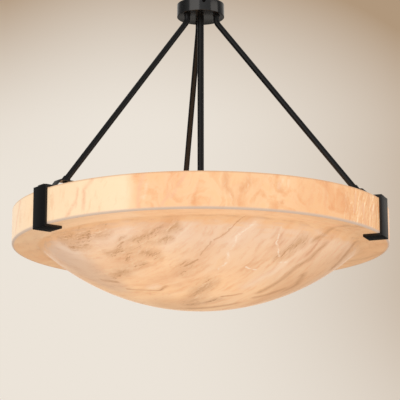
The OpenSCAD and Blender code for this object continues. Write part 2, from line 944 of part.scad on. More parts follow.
// Earth lead: a wire from the cable to a ring tab under the earth screw
module earth_lead() {
    tab_z = -strap_t - wire_tab;
    wire_z = -strap_t - wire_d / 2 - wire_lift;
    tab_r = earth_d + 1;
    color(green) {
        translate([0, core_y, cable_top_z])
            cylinder(r = wire_d / 2, h = wire_z - cable_top_z);
        translate([0, core_y, wire_z])
            sphere(r = wire_d / 2);
        translate([0, core_y, wire_z])
            rotate([-90, 0, 0])
                cylinder(r = wire_d / 2, h = earth_y - tab_r + tab_lap - core_y);
        translate([0, earth_y, tab_z])
            tube(tab_r, earth_d / 2 + fit, wire_tab);
    }
}

module terminal_block() {
    color(porcelain)
        translate([0, 0, axis_z - block_h / 2])
            turned(block_r, block_h, 1, 1);
}

// Leads from the terminal block through the nipples to the contacts
module lamp_leads() {
    color(red)
        at_lamps()
            translate([0, 0, block_r])
                cylinder(r = wire_d / 2, h = socket_x - contact_sink - block_r);
}

mounting_strap();
earth_screw();
canopy();
canopy_screw(-1);  // canopy_screw_1
canopy_screw(1);  // canopy_screw_2
arm(0);  // arm_1
arm(1);  // arm_2
arm(2);  // arm_3
arm_collars();
arm_nipples();
arm_nuts();
arm_ferrules();
foot_screws();
stem();
stem_nipples();
stem_nuts();
bowl();
bowl_band();
rim_clip(0);  // rim_clip_1
rim_clip(1);  // rim_clip_2
rim_clip(2);  // rim_clip_3
clip_pad(0);  // clip_pad_1
clip_pad(1);  // clip_pad_2
clip_pad(2);  // clip_pad_3
arm_foot(0);  // arm_foot_1
arm_foot(1);  // arm_foot_2
arm_foot(2);  // arm_foot_3
clip_screws(0);  // clip_screws_1
clip_screws(1);  // clip_screws_2
clip_screws(2);  // clip_screws_3
cluster_body();
cluster_cover();
cover_screws();
lamp_nipples();
lamp_nuts();
lampholder(0);  // lampholder_1
lampholder(1);  // lampholder_2
lampholder(2);  // lampholder_3
lampholder(3);  // lampholder_4
lampholder(4);  // lampholder_5
lampholder(5);  // lampholder_6
screw_shells();
centre_contacts();
bulb(0);  // bulb_1
bulb(1);  // bulb_2
bulb(2);  // bulb_3
bulb(3);  // bulb_4
bulb(4);  // bulb_5
bulb(5);  // bulb_6
bulb_cap(0);  // bulb_cap_1
bulb_cap(1);  // bulb_cap_2
bulb_cap(2);  // bulb_cap_3
bulb_cap(3);  // bulb_cap_4
bulb_cap(4);  // bulb_cap_5
bulb_cap(5);  // bulb_cap_6
supply_cable();
wire_connectors();
earth_lead();
terminal_block();
lamp_leads();
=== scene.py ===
import math

import bmesh
import bpy
from mathutils import Matrix, Vector


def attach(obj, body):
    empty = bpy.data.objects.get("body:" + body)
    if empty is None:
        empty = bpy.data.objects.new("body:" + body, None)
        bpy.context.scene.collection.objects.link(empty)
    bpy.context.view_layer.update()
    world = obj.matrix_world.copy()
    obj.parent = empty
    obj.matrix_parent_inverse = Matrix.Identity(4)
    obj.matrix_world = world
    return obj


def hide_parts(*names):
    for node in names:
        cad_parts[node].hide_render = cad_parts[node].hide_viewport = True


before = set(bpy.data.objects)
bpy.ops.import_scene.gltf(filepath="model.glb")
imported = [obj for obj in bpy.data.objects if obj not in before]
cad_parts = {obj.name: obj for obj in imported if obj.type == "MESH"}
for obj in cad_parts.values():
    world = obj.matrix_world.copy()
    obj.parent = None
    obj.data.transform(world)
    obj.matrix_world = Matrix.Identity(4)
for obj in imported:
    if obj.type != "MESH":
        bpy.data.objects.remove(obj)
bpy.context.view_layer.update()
mm = 0.001
mergeGap = 2e-6  # in metres: points closer than this become one

# Everything is in the frame of the CAD: the origin is the centre of the ceiling plane and +Z is up.
# Sizes are millimetres and become metres when a mesh is made.

bowl = {
    "radius": 457.2, "band": 84.4, "ledge": 69.5, "depth": 146.5, "fillet": 36.0, "wall": 6.0,
    "edge": 4.0, "rim": 1.4, "lap": 20.0, "ledgeZ": -623.6, "restGap": 0.1,
    "steps": 360, "domeSteps": 56, "filletSteps": 14,
}
rimZ = bowl["ledgeZ"] + bowl["band"]

# Small makers

def hexColour(text):
    parts = [int(text[i:i + 2], 16) / 255 for i in (1, 3, 5)]
    return [c / 12.92 if c <= 0.04045 else ((c + 0.055) / 1.055) ** 2.4 for c in parts] + [1.0]


def addNode(tree, kind, sockets=(), stops=(), **settings):
    # sockets by name or number, or in order; each takes a node, a socket, a number or an sRGB hex colour
    node = tree.nodes.new(kind)
    for key, value in settings.items():
        setattr(node, key, value)
    for key, value in sockets.items() if isinstance(sockets, dict) else enumerate(sockets):
        if isinstance(value, bpy.types.Node):
            value = next(out for out in value.outputs if out.enabled)
        if isinstance(value, bpy.types.NodeSocket):
            tree.links.new(value, node.inputs[key])
        else:
            node.inputs[key].default_value = hexColour(value) if isinstance(value, str) else value
    for i, (place, colour) in enumerate(stops):
        ramp = node.color_ramp.elements
        element = ramp[i] if i < len(ramp) else ramp.new(1.0)
        element.position, element.color = place, hexColour(colour)
    return node


def masked(tree, *factors):
    # the product of masks and strengths; one as (value, from, to) rises softly between the two
    product = None
    for factor in factors:
        if isinstance(factor, tuple):
            factor = addNode(tree, "ShaderNodeMapRange", factor, interpolation_type="SMOOTHSTEP")
        product = factor if product is None else addNode(
            tree, "ShaderNodeMath", [product, factor], operation="MULTIPLY")
    return product


def newMaterial(name):
    material = bpy.data.materials.new(name)
    material.use_nodes = True
    material.node_tree.nodes.clear()
    return material, material.node_tree


def newObject(name, data):
    piece = bpy.data.objects.new(name, data)
    bpy.context.scene.collection.objects.link(piece)
    return piece


def meshFrom(name, points, edges, faces):
    mesh = bpy.data.meshes.new(name)
    mesh.from_pydata([[c * mm for c in p] for p in points], edges, faces)
    mesh.update()
    return mesh


def arcPoints(centre, radius, first, last, steps, begin=0):
    # points round a centre from one angle to another, in radians
    turns = [first + (last - first) * i / steps for i in range(begin, steps + 1)]
    return [(centre[0] + radius * math.cos(t), centre[1] + radius * math.sin(t)) for t in turns]


def arcCorner(a, p, b, radius, steps):
    # the points that round corner p, between its neighbours a and b
    if radius == 0:
        return [p]
    p, u, v = Vector(p), (Vector(a) - Vector(p)).normalized(), (Vector(b) - Vector(p)).normalized()
    half = math.acos(max(-1, min(1, u.dot(v)))) / 2
    centre = p + (u + v).normalized() * radius / math.sin(half)
    start, end = p + u * radius / math.tan(half) - centre, p + v * radius / math.tan(half) - centre
    first = math.atan2(start.y, start.x)
    sweep = (math.atan2(end.y, end.x) - first + math.pi) % (2 * math.pi) - math.pi
    return arcPoints(centre, radius, first, first + sweep, steps)


def rounded(points, radii, steps=6):
    count, out = len(points), []
    for i, p in enumerate(points):
        out += arcCorner(points[i - 1], p, points[(i + 1) % count], radii[i], steps)
    return out


def beside(path, gap):
    # the path moved to its left, with mitred corners
    out, last = [], len(path) - 1
    for i, p in enumerate(path):
        before = (Vector(path[max(i, 1)]) - Vector(path[max(i - 1, 0)])).normalized()
        after = (Vector(path[min(i + 1, last)]) - Vector(path[min(i, last - 1)])).normalized()
        one, two = Vector((-before.y, before.x)), Vector((-after.y, after.x))
        out.append(tuple(Vector(p) + (one + two) * gap / (1 + one.dot(two))))
    return out


def strip(path, thick, bend):
    far, near, outer = beside(path, thick), [0], [0]
    for i in range(1, len(path) - 1):
        one, two = Vector(path[i]) - Vector(path[i - 1]), Vector(path[i + 1]) - Vector(path[i])
        left = one.x * two.y - one.y * two.x > 0
        near.append(bend + thick if left else bend)
        outer.append(bend if left else bend + thick)
    return rounded(list(path) + far[::-1], near + [0, 0] + outer[:0:-1] + [0])


# Geometry Nodes trees

def startTree(name, sockets):
    tree = bpy.data.node_groups.new(name, "GeometryNodeTree")
    for way in ("INPUT", "OUTPUT"):
        tree.interface.new_socket("Geometry", in_out=way, socket_type="NodeSocketGeometry")
    for label, kind in (*sockets, ("Finish", "Material")):
        tree.interface.new_socket(label, in_out="INPUT", socket_type="NodeSocket" + kind)
    return tree, addNode(tree, "NodeGroupInput").outputs


def finishTree(tree, enter, geometry):
    real = addNode(tree, "GeometryNodeRealizeInstances", {"Geometry": geometry})
    done = addNode(tree, "GeometryNodeSetMaterial", {"Geometry": real, "Material": enter["Finish"]})
    addNode(tree, "NodeGroupOutput", {"Geometry": done})
    return tree


def makeTurnTree():
    # a section, x out from a circle of 1 mm and y down, turned about Z
    tree, enter = startTree("turnSection", [("Steps", "Int")])
    section = addNode(tree, "GeometryNodeMeshToCurve", {"Mesh": enter["Geometry"]})
    circle = addNode(tree, "GeometryNodeCurvePrimitiveCircle", {"Resolution": enter["Steps"], "Radius": mm})
    upright = addNode(tree, "GeometryNodeSetCurveNormal", {"Curve": circle}, mode="Z_UP")
    body = addNode(tree, "GeometryNodeCurveToMesh", {"Curve": upright, "Profile Curve": section})
    joined = addNode(tree, "GeometryNodeMergeByDistance", {"Geometry": body, "Distance": mergeGap})
    return finishTree(tree, enter, joined)


def makeRibTree():
    # a turned piece whose wall is then cut by a thread or by flutes, between two heights
    tree, enter = startTree("ribTurning", [
        (label, "Float") for label in ("Depth", "Turns", "Flutes", "Low", "High", "Wall")])
    place = addNode(tree, "ShaderNodeSeparateXYZ", [addNode(tree, "GeometryNodeInputPosition")]).outputs
    flat = addNode(tree, "ShaderNodeCombineXYZ", [place["X"], place["Y"]])
    radius = addNode(tree, "ShaderNodeVectorMath", [flat], operation="LENGTH")
    bearing = addNode(tree, "ShaderNodeMath", [place["Y"], place["X"]], operation="ARCTAN2")
    around = masked(tree, bearing, enter["Flutes"])
    phase = addNode(tree, "ShaderNodeMath", [place["Z"], enter["Turns"], around], operation="MULTIPLY_ADD")
    wave = addNode(tree, "ShaderNodeMath", [phase], operation="COSINE")
    half = addNode(tree, "ShaderNodeMath", [wave, 0.5, 0.5], operation="MULTIPLY_ADD")
    share = addNode(tree, "ShaderNodeMath", [masked(tree, half, enter["Depth"]), radius], operation="DIVIDE")
    push = addNode(tree, "ShaderNodeVectorMath", {
        0: flat, "Scale": masked(tree, share, -1.0)}, operation="SCALE")
    above = addNode(tree, "ShaderNodeMath", [place["Z"], enter["Low"]], operation="GREATER_THAN")
    below = addNode(tree, "ShaderNodeMath", [place["Z"], enter["High"]], operation="LESS_THAN")
    outside = addNode(tree, "ShaderNodeMath", [radius, enter["Wall"]], operation="GREATER_THAN")
    cut = addNode(tree, "GeometryNodeSetPosition", {
        "Geometry": enter["Geometry"], "Selection": masked(tree, above, below, outside), "Offset": push})
    return finishTree(tree, enter, cut)


def makeSweepTree():
    # a round tube along a path of edges
    tree, enter = startTree("sweepTube", [("Radius", "Float"), ("Sides", "Int")])
    path = addNode(tree, "GeometryNodeMeshToCurve", {"Mesh": enter["Geometry"]})
    circle = addNode(tree, "GeometryNodeCurvePrimitiveCircle", {
        "Resolution": enter["Sides"], "Radius": enter["Radius"]})
    body = addNode(tree, "GeometryNodeCurveToMesh", {
        "Curve": path, "Profile Curve": circle, "Fill Caps": True})
    return finishTree(tree, enter, body)


def makeRingTree():
    # copies of one piece round the centre line
    tree, enter = startTree("ringOfCopies", [("Count", "Int"), ("First", "Float")])
    line = addNode(tree, "GeometryNodeMeshLine", {"Count": enter["Count"], "Offset": (0, 0, 0)})
    share = addNode(tree, "ShaderNodeMath", [2 * math.pi, enter["Count"]], operation="DIVIDE")
    turn = addNode(tree, "ShaderNodeMath", [
        addNode(tree, "GeometryNodeInputIndex"), share, enter["First"]], operation="MULTIPLY_ADD")
    spin = addNode(tree, "ShaderNodeCombineXYZ", {"Z": turn})
    copies = addNode(tree, "GeometryNodeInstanceOnPoints", {
        "Points": line, "Instance": enter["Geometry"], "Rotation": spin})
    return finishTree(tree, enter, copies)


turnTree, ribTree, sweepTree, ringTree = makeTurnTree(), makeRibTree(), makeSweepTree(), makeRingTree()


def plainMesh(piece):
    # what a piece's modifiers make of it; the piece itself goes
    made = bpy.data.meshes.new_from_object(piece.evaluated_get(bpy.context.evaluated_depsgraph_get()))
    piece.modifiers.clear()
    bpy.data.objects.remove(piece)
    return made


def runTree(name, mesh, tree, values):
    source = newObject(name, mesh)
    modifier = source.modifiers.new("Build", "NODES")
    modifier.node_group = tree
    for item in tree.interface.items_tree:
        if item.in_out == "INPUT" and item.name in values:
            modifier[item.identifier] = values[item.name]
    return plainMesh(source)


def soften(mesh, angle=35):
    for polygon in mesh.polygons:
        polygon.use_smooth = True
    mesh.set_sharp_from_angle(angle=math.radians(angle))
    return mesh


def outwards(mesh):
    work = bmesh.new()
    work.from_mesh(mesh)
    bmesh.ops.recalc_face_normals(work, faces=work.faces)
    work.to_mesh(mesh)
    work.free()
    return mesh


def turnedMesh(name, outline, steps, finish, closed=True):
    # a closed section, or, where closed is False, a line with both its ends on the axis
    count = len(outline)
    edges = [(i, (i + 1) % count) for i in range(count if closed else count - 1)]
    section = meshFrom(name, [(x - 1, -y, 0) for x, y in outline], edges, [])
    return soften(outwards(runTree(name, section, turnTree, {"Steps": steps, "Finish": finish})))


def ribbedMesh(name, mesh, depth, pitch, flutes, span, wall, finish):
    # a thread has a pitch and one flute; a knurl has no pitch and many
    turns = 2 * math.pi / (pitch * mm) if pitch else 0.0
    return soften(runTree(name, mesh, ribTree, {
        "Depth": depth * mm, "Turns": turns, "Flutes": float(flutes), "Low": span[0] * mm,
        "High": span[1] * mm, "Wall": wall * mm, "Finish": finish}), 50)


def ringMesh(name, mesh, count, first, finish):
    return soften(runTree(name, mesh, ringTree, {
        "Count": count, "First": math.radians(first), "Finish": finish}))


def tubeMesh(name, path, radius, sides, finish):
    line = meshFrom(name, path, [(i, i + 1) for i in range(len(path) - 1)], [])
    return soften(outwards(runTree(name, line, sweepTree, {
        "Radius": radius * mm, "Sides": sides, "Finish": finish})))


def pushedOut(points, along):
    # a flat outline pushed out along a direction
    work = bmesh.new()
    face = work.faces.new([work.verts.new([c * mm for c in p]) for p in points])
    pushed = bmesh.ops.extrude_face_region(work, geom=[face])
    far = [v for v in pushed["geom"] if isinstance(v, bmesh.types.BMVert)]
    bmesh.ops.translate(work, verts=far, vec=[c * mm for c in along])
    bmesh.ops.recalc_face_normals(work, faces=work.faces)
    return work


def barMesh(name, outline, width, edge, finish):
    # a flat-bar outline of x and height, made wide about the XZ plane, with softened edges
    work = pushedOut([(x, -width / 2, z) for x, z in outline], (0, width, 0))
    sides = [f for f in work.faces if abs(f.normal.y) > 0.9]
    rims = list({e for f in sides for e in f.edges})
    bmesh.ops.bevel(
        work, geom=rims, offset=edge * mm, segments=3, profile=0.5, affect="EDGES", clamp_overlap=True)
    return bmeshDone(work, name, finish)


def prism(outline, low, high, finish):
    # an outline of x and y, made upright between two heights
    return bmeshDone(pushedOut([(x, y, low) for x, y in outline], (0, 0, high - low)), "prism", finish)


def slotCutter(length, width, low, high, finish):
    x, y = length / 2, width / 2
    return prism([(-x, -y), (x, -y), (x, y), (-x, y)], low, high, finish)


def bmeshDone(work, name, finish):
    mesh = bpy.data.meshes.new(name)
    work.to_mesh(mesh)
    work.free()
    mesh.materials.append(finish)
    return soften(mesh)


def stackMesh(name, rings, steps, finish, closed=False):
    # rings round Z as (radius, height) or (radius, height, flats), where flats cuts the ring to a hexagon
    work = bmesh.new()
    loops = []
    for ring in rings:
        loop = []
        for i in range(steps):
            turn = 2 * math.pi * i / steps
            r = ring[0]
            if len(ring) > 2:
                r = min(r, ring[2] / 2 / math.cos(turn % (math.pi / 3) - math.pi / 6))
            loop.append(work.verts.new((r * math.cos(turn) * mm, r * math.sin(turn) * mm, ring[1] * mm)))
        loops.append(loop)
    pairs = list(zip(loops, loops[1:])) + ([(loops[-1], loops[0])] if closed else [])
    for low, high in pairs:
        for i in range(steps):
            j = (i + 1) % steps
            work.faces.new((low[i], low[j], high[j], high[i]))
    bmesh.ops.remove_doubles(work, verts=work.verts, dist=mergeGap)
    bmesh.ops.dissolve_degenerate(work, edges=work.edges, dist=1e-7)
    bmesh.ops.recalc_face_normals(work, faces=work.faces)
    return bmeshDone(work, name, finish)


def withModifier(mesh, kind, **settings):
    piece = newObject(mesh.name, mesh)
    modifier = piece.modifiers.new("Work", kind)
    for key, value in settings.items():
        setattr(modifier, key, value)
    return plainMesh(piece)


def without(mesh, cutters):
    for cutter in cutters:
        tool = newObject("cutter", cutter)
        mesh = withModifier(mesh, "BOOLEAN", operation="DIFFERENCE", solver="EXACT", object=tool)
        bpy.data.objects.remove(tool)
    return mesh


def bevelled(mesh, width, segments=2, angle=40):
    return soften(withModifier(
        mesh, "BEVEL", width=width * mm, segments=segments, limit_method="ANGLE",
        angle_limit=math.radians(angle)))


def stadium(x, y, radius, length, along, steps=16):
    # a slot's outline about (x, y), with its length between the centres of its ends
    out = []
    for end in (0, 1):
        for i in range(steps + 1):
            t = math.pi * (i / steps + end) - math.pi / 2
            u, v = radius * math.cos(t) + (length / 2 if end == 0 else -length / 2), radius * math.sin(t)
            out.append((x + u, y + v) if along == "x" else (x - v, y + u))
    return out


def joinMeshes(name, meshes):
    # one mesh from several, with one material slot for each finish
    work, finishes = bmesh.new(), []
    for mesh in meshes:
        start = len(work.faces)
        work.from_mesh(mesh)
        work.faces.ensure_lookup_table()
        slots = []
        for material in mesh.materials:
            if material not in finishes:
                finishes.append(material)
            slots.append(finishes.index(material))
        for face in work.faces[start:]:
            face.material_index = slots[face.material_index] if slots else 0
    out = bpy.data.meshes.new(name)
    work.to_mesh(out)
    work.free()
    for material in finishes:
        out.materials.append(material)
    return out


def moved(mesh, *matrices):
    copy = mesh.copy()
    for matrix in matrices:
        copy.transform(matrix)
    return copy


def turnZ(degrees):
    return Matrix.Rotation(math.radians(degrees), 4, "Z")


def shift(x, y, z):
    return Matrix.Translation((x * mm, y * mm, z * mm))


def turnY(degrees):
    return Matrix.Rotation(math.radians(degrees), 4, "Y")


def lampPlace(k):
    # a lamp's own axis lies along +Z before this and starts on the centre line
    return turnZ(lamp["first"] + 360 / lamp["count"] * k) @ shift(0, 0, axisZ) @ turnY(90)


def fit(name, mesh, body, nodes=()):
    piece = newObject(name, mesh)
    mesh.name = name
    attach(piece, body)
    if nodes:
        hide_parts(*nodes)
    return piece


# Finishes

def finishSkin(material, pattern, gloss, relief, sockets):
    # ends a material: a pattern's drift turns its roughness, and relief is a pattern, its strength and metres
    tree = material.node_tree
    rough = addNode(tree, "ShaderNodeMapRange", [pattern, *patternSpan, *gloss])
    bump = addNode(tree, "ShaderNodeBump", dict(zip(("Height", "Strength", "Distance"), relief)))
    skin = addNode(tree, "ShaderNodeBsdfPrincipled", {"Roughness": rough, "Normal": bump, **sockets})
    addNode(tree, "ShaderNodeOutputMaterial", {"Surface": skin})
    return material


def layered(tree, colour, *layers):
    # each layer is a colour or a pattern of colours, its share, and how it blends with what is below
    for layer, share, *blend in layers:
        colour = addNode(tree, "ShaderNodeMix", {0: share, 6: colour, 7: layer}, data_type="RGBA",
                         blend_type=blend[0] if blend else "MIX")
    return colour


# the span of a noise that holds most of it, and pattern sizes of the plainer finishes in mm
patternSpan = (0.3, 0.7)
coatDrift, platingCloud, mouldFleck, feltFibre, glassFrost = 55.556, 11.111, 3.0, 1.4, 2.0


def powderCoat(name, tint, gloss, peelSize, peel, shine=0.5):
    # Powder-coated steel: sprayed dry and baked, so it has a fine orange peel that softens its highlights
    material, tree = newMaterial(name)
    place = addNode(tree, "ShaderNodeTexCoord").outputs["Object"]
    skin = addNode(tree, "ShaderNodeTexNoise", {"Vector": place, "Scale": 1000 / peelSize, "Detail": 2.0})
    drift = addNode(tree, "ShaderNodeTexNoise", {"Vector": place, "Scale": 1000 / coatDrift, "Detail": 5.0})
    tone = addNode(tree, "ShaderNodeValToRGB", [drift], zip(patternSpan, tint))
    speck = addNode(tree, "ShaderNodeValToRGB", [skin], [(0.62, "#000000"), (0.78, tint[2])])
    return finishSkin(material, drift, gloss, (skin, peel, 0.0001), {
        "Base Color": layered(tree, tone, (speck, 0.5, "ADD")), "IOR": 1.5, "Specular IOR Level": shine})


def plated(name, tint, gloss, grain, stretch):
    # Plated or drawn metal: thin metal over a drawn or stamped blank, so drawing lines show in its gloss
    material, tree = newMaterial(name)
    place = addNode(tree, "ShaderNodeTexCoord").outputs["Object"]
    lines = addNode(tree, "ShaderNodeMapping", {"Vector": place, "Scale": stretch})
    drawn = addNode(tree, "ShaderNodeTexNoise", {"Vector": lines, "Scale": 1000 / grain, "Detail": 4.0})
    cloud = addNode(tree, "ShaderNodeTexNoise", {
        "Vector": place, "Scale": 1000 / platingCloud, "Detail": 3.0})
    tone = addNode(tree, "ShaderNodeValToRGB", [cloud], zip(patternSpan, tint))
    return finishSkin(material, drawn, gloss, (drawn, 0.2, 0.00006), {"Base Color": tone, "Metallic": 1.0})


def moulded(name, tint, gloss, grain, coat):
    # Moulded or extruded plastic and glazed ware: even colour, with slight waves from the mould or the glaze
    material, tree = newMaterial(name)
    place = addNode(tree, "ShaderNodeTexCoord").outputs["Object"]
    wave = addNode(tree, "ShaderNodeTexNoise", {"Vector": place, "Scale": 1000 / grain, "Detail": 3.0})
    fleck = addNode(tree, "ShaderNodeTexVoronoi", {"Vector": place, "Scale": 1000 / mouldFleck})
    tone = addNode(tree, "ShaderNodeValToRGB", [wave], zip(patternSpan, tint))
    spot = addNode(tree, "ShaderNodeValToRGB", [fleck], [(0.05, tint[2]), (0.12, tint[1])])
    return finishSkin(material, wave, gloss, (wave, 0.15, 0.0001), {
        "Base Color": layered(tree, tone, (spot, 0.25, "MULTIPLY")), "Coat Weight": coat})


def pressedFelt():
    # Pressed wool felt, 0.8 mm: matted fibres without a weave, a soft sheen on the nap
    material, tree = newMaterial("pressedWoolFelt")
    place = addNode(tree, "ShaderNodeTexCoord").outputs["Object"]
    fibre = addNode(tree, "ShaderNodeTexNoise", {
        "Vector": place, "Scale": 1000 / feltFibre, "Detail": 5.0, "Distortion": 1.5})
    tone = addNode(tree, "ShaderNodeValToRGB", [fibre], zip(patternSpan, ("#8f8a80", "#c4bfb2")))
    bump = addNode(tree, "ShaderNodeBump", {"Height": fibre, "Strength": 0.6, "Distance": 0.0003})
    skin = addNode(tree, "ShaderNodeBsdfPrincipled", {
        "Base Color": tone, "Roughness": 0.95, "Sheen Weight": 0.4, "Normal": bump})
    addNode(tree, "ShaderNodeOutputMaterial", {"Surface": skin})
    return material


def etchedGlass():
    # Acid-etched lamp glass: satin and milky, brightest round the globe where the filament shines through
    material, tree = newMaterial("acidEtchedGlass")
    place = addNode(tree, "ShaderNodeTexCoord").outputs["Object"]
    parts = addNode(tree, "ShaderNodeSeparateXYZ", [place]).outputs
    flat = addNode(tree, "ShaderNodeCombineXYZ", [parts["X"], parts["Y"]])
    reach = addNode(tree, "ShaderNodeVectorMath", [flat], operation="LENGTH")
    frost = addNode(tree, "ShaderNodeTexNoise", {"Vector": place, "Scale": 1000 / glassFrost, "Detail": 3.0})
    rise = masked(tree, (reach, *glowReach))
    glow = addNode(tree, "ShaderNodeValToRGB", [rise], zip((0.0, 1.0), glowTints))
    return finishSkin(material, frost, (0.42, 0.55), (frost, 0.2, 0.0001), {
        "Base Color": "#efe9dc", "Emission Color": glow, "Emission Strength": 0.9})


# how far out from the centre line the lamps' glow rises, in m, and its tints there
glowReach, glowTints = (0.128, 0.17), ("#b98a5e", "#ffe9c4")

marble = {
    # bearing of the veins' run as seen from above, how far it draws the fine and the cloudy patterns out, and
    # how much of the height they follow
    "bearing": -55.0, "stretch": {"flow": 6.0, "slow": 3.0}, "leaning": 0.5,
    # how the sheet is pulled about, widely and narrowly: size and reach in mm, and detail
    "wide": (60.0, 16.0, 3.0), "narrow": (9.0, 6.0, 4.0),
    # the fillet's streaks run round the bowl: how fast they change along it and out from it
    "aroundPace": 0.45, "outPace": 7.0,
    # the band's streaks stand nearly upright: lean in degrees and how far they are drawn out
    "lean": 20.0, "upright": 4.0,
    # a second reading beside a pattern gives its slopes, for painted shade and highlight: offset in mm
    "beside": {"slow": (0.6, 2.2, 0), "upright": (1.4, 1.4, 0)},
    # noises: where each is read, size in mm, detail, roughness and distortion
    "noises": {
        "tone": ("loose", 230.0, 3.0, 0.5, 0.0), "veil": ("flow", 46.0, 6.0, 0.6, 0.0),
        "fine": ("flow", 12.0, 6.0, 0.62, 0.0), "hair": ("flow", 20.0, 5.0, 0.5, 0.0),
        "crumb": ("slow", 24.0, 7.0, 0.62, 0.0), "crumbBeside": ("slowBeside", 24.0, 7.0, 0.62, 0.0),
        "ring": ("around", 60.0, 5.0, 0.55, 0.0), "pleat": ("upright", 18.0, 6.0, 0.6, 0.0),
        "patch": ("loose", 70.0, 7.0, 0.6, 1.1), "pucker": ("upright", 26.0, 5.0, 0.6, 0.0),
        "puckerBeside": ("uprightBeside", 26.0, 5.0, 0.6, 0.0),
    },
    # a hair's half width in its noise
    "hairWidth": 0.02,
    # heights over the ledge in m: where the dish turns from painted sheen to warm and how its tone moves
    # that, where the ledge begins and how the streaks move that, and where the band begins
    "warmAt": (-0.02, -0.12), "warmDrift": (1.8, -0.9), "ledgeAt": (0.004, 0.03), "ledgeShift": 0.06,
    "bandAt": (-0.002, 0.003),
    # paint under the glow
    "paint": "#c4bfb9", "glow": 0.73,
}

# places in the sheet with painted light and shade: x, y and radius in mm, some with the share of the radius
# that is full, and then the tint and its strength; and where the band is puckered
marbleSpots = {
    # a painted pool of the lamps' light, paler on the band's left
    "lampGlowPool": ([(-380, -260, 240, 0.86), (-430, -170, 300, 0.3)], "#f8debb", 0.85),
    # painted shade, darker at the ledge's far left and right ends
    "ledgeEndShade": ([(-445, -20, 260), (440, 20, 420)], "#cf9d6d", 0.25),
    # painted shade, a deeper orange on the band's right where it turns away
    "bandRightShade": ([(430, -180, 380), (235, -392, 130), (350, -292, 130)], "#ebb888", 0.75),
    # painted shade, darker patches on the dish
    "dishShade": ([(250, -70, 170), (-60, -20, 90)], "#d7a67c", 0.45),
    # painted shade, darker and greyer along the dish's left flank
    "leftFlankShade": ([(-345, -75, 90), (-290, -62, 100), (-235, -50, 80)], "#c2a592", 0.38),
}
puckerSpots = [(345, -300, 130), (395, -235, 90)]
spotCore = 0.4

# colours by a noise's value, and the share of each that lies over what is below
dishTints = {
    # the cool end is painted sheen under the ledge, the warm end is the sheet's own tone
    "sheenToWarmth": [(0.0, "#efcbac"), (0.5, "#f5cda7"), (1.0, "#ffd2a5")],
    "veil": ([(0.3, "#e0c4b2"), (0.45, "#fbf3ec"), (0.56, "#ffffff"), (0.7, "#fff6ea")], 0.6),
    "fine": ([(0.34, "#e2c8b4"), (0.5, "#ffffff")], 0.4),
    "hair": ("#c99f80", 0.4), "hairTone": (0.4, 0.62),
    "ledge": [(0.34, "#e4ae80"), (0.5, "#eebb8c"), (0.66, "#f1c295")],
    "streak": ("#d39d69", (0.5, 0.36, 0.0, 0.75)),
}

bandTints = {
    "tone": [(0.36, "#f1c397"), (0.5, "#f4ca9f"), (0.64, "#f2c69b")],
    "patch": ([(0.36, "#efcdb0"), (0.47, "#fbf0e4"), (0.52, "#ffffff"), (0.6, "#fffaf0")], 0.65),
    "pleat": ([(0.32, "#eecdb9"), (0.46, "#ffffff"), (0.58, "#ffffff"), (0.72, "#fffbf2")], 0.3),
    # a pucker's painted shade and painted highlight on its two sides, by its noise's slope
    "puckerShadeAndHighlight": [("#dda173", (0.008, 0.06, 0.0, 0.8)), ("#fcdcb4", (-0.008, -0.06, 0.0, 0.8))],
}

# the solid corner under the band and the cut rim pass less light: tint, and share by distance in m
edgeTints = {"corner": ("#cab5a5", (0.0075, 0.002, 0.0, 0.9)), "rim": ("#c69c79", (0.005, 0.001, 0.0, 0.6))}

# a cloud's mottle, a line's strands and hairs, and a crack's breaks, by their noises
veinEdges = {
    "mottle": (0.84, 1.12), "strands": (0.38, 0.6, 0.55, 0.9), "hairs": 0.4, "lines": 0.8,
    "breaks": (0.42, 0.56), "crack": "#fbe2ca",
}

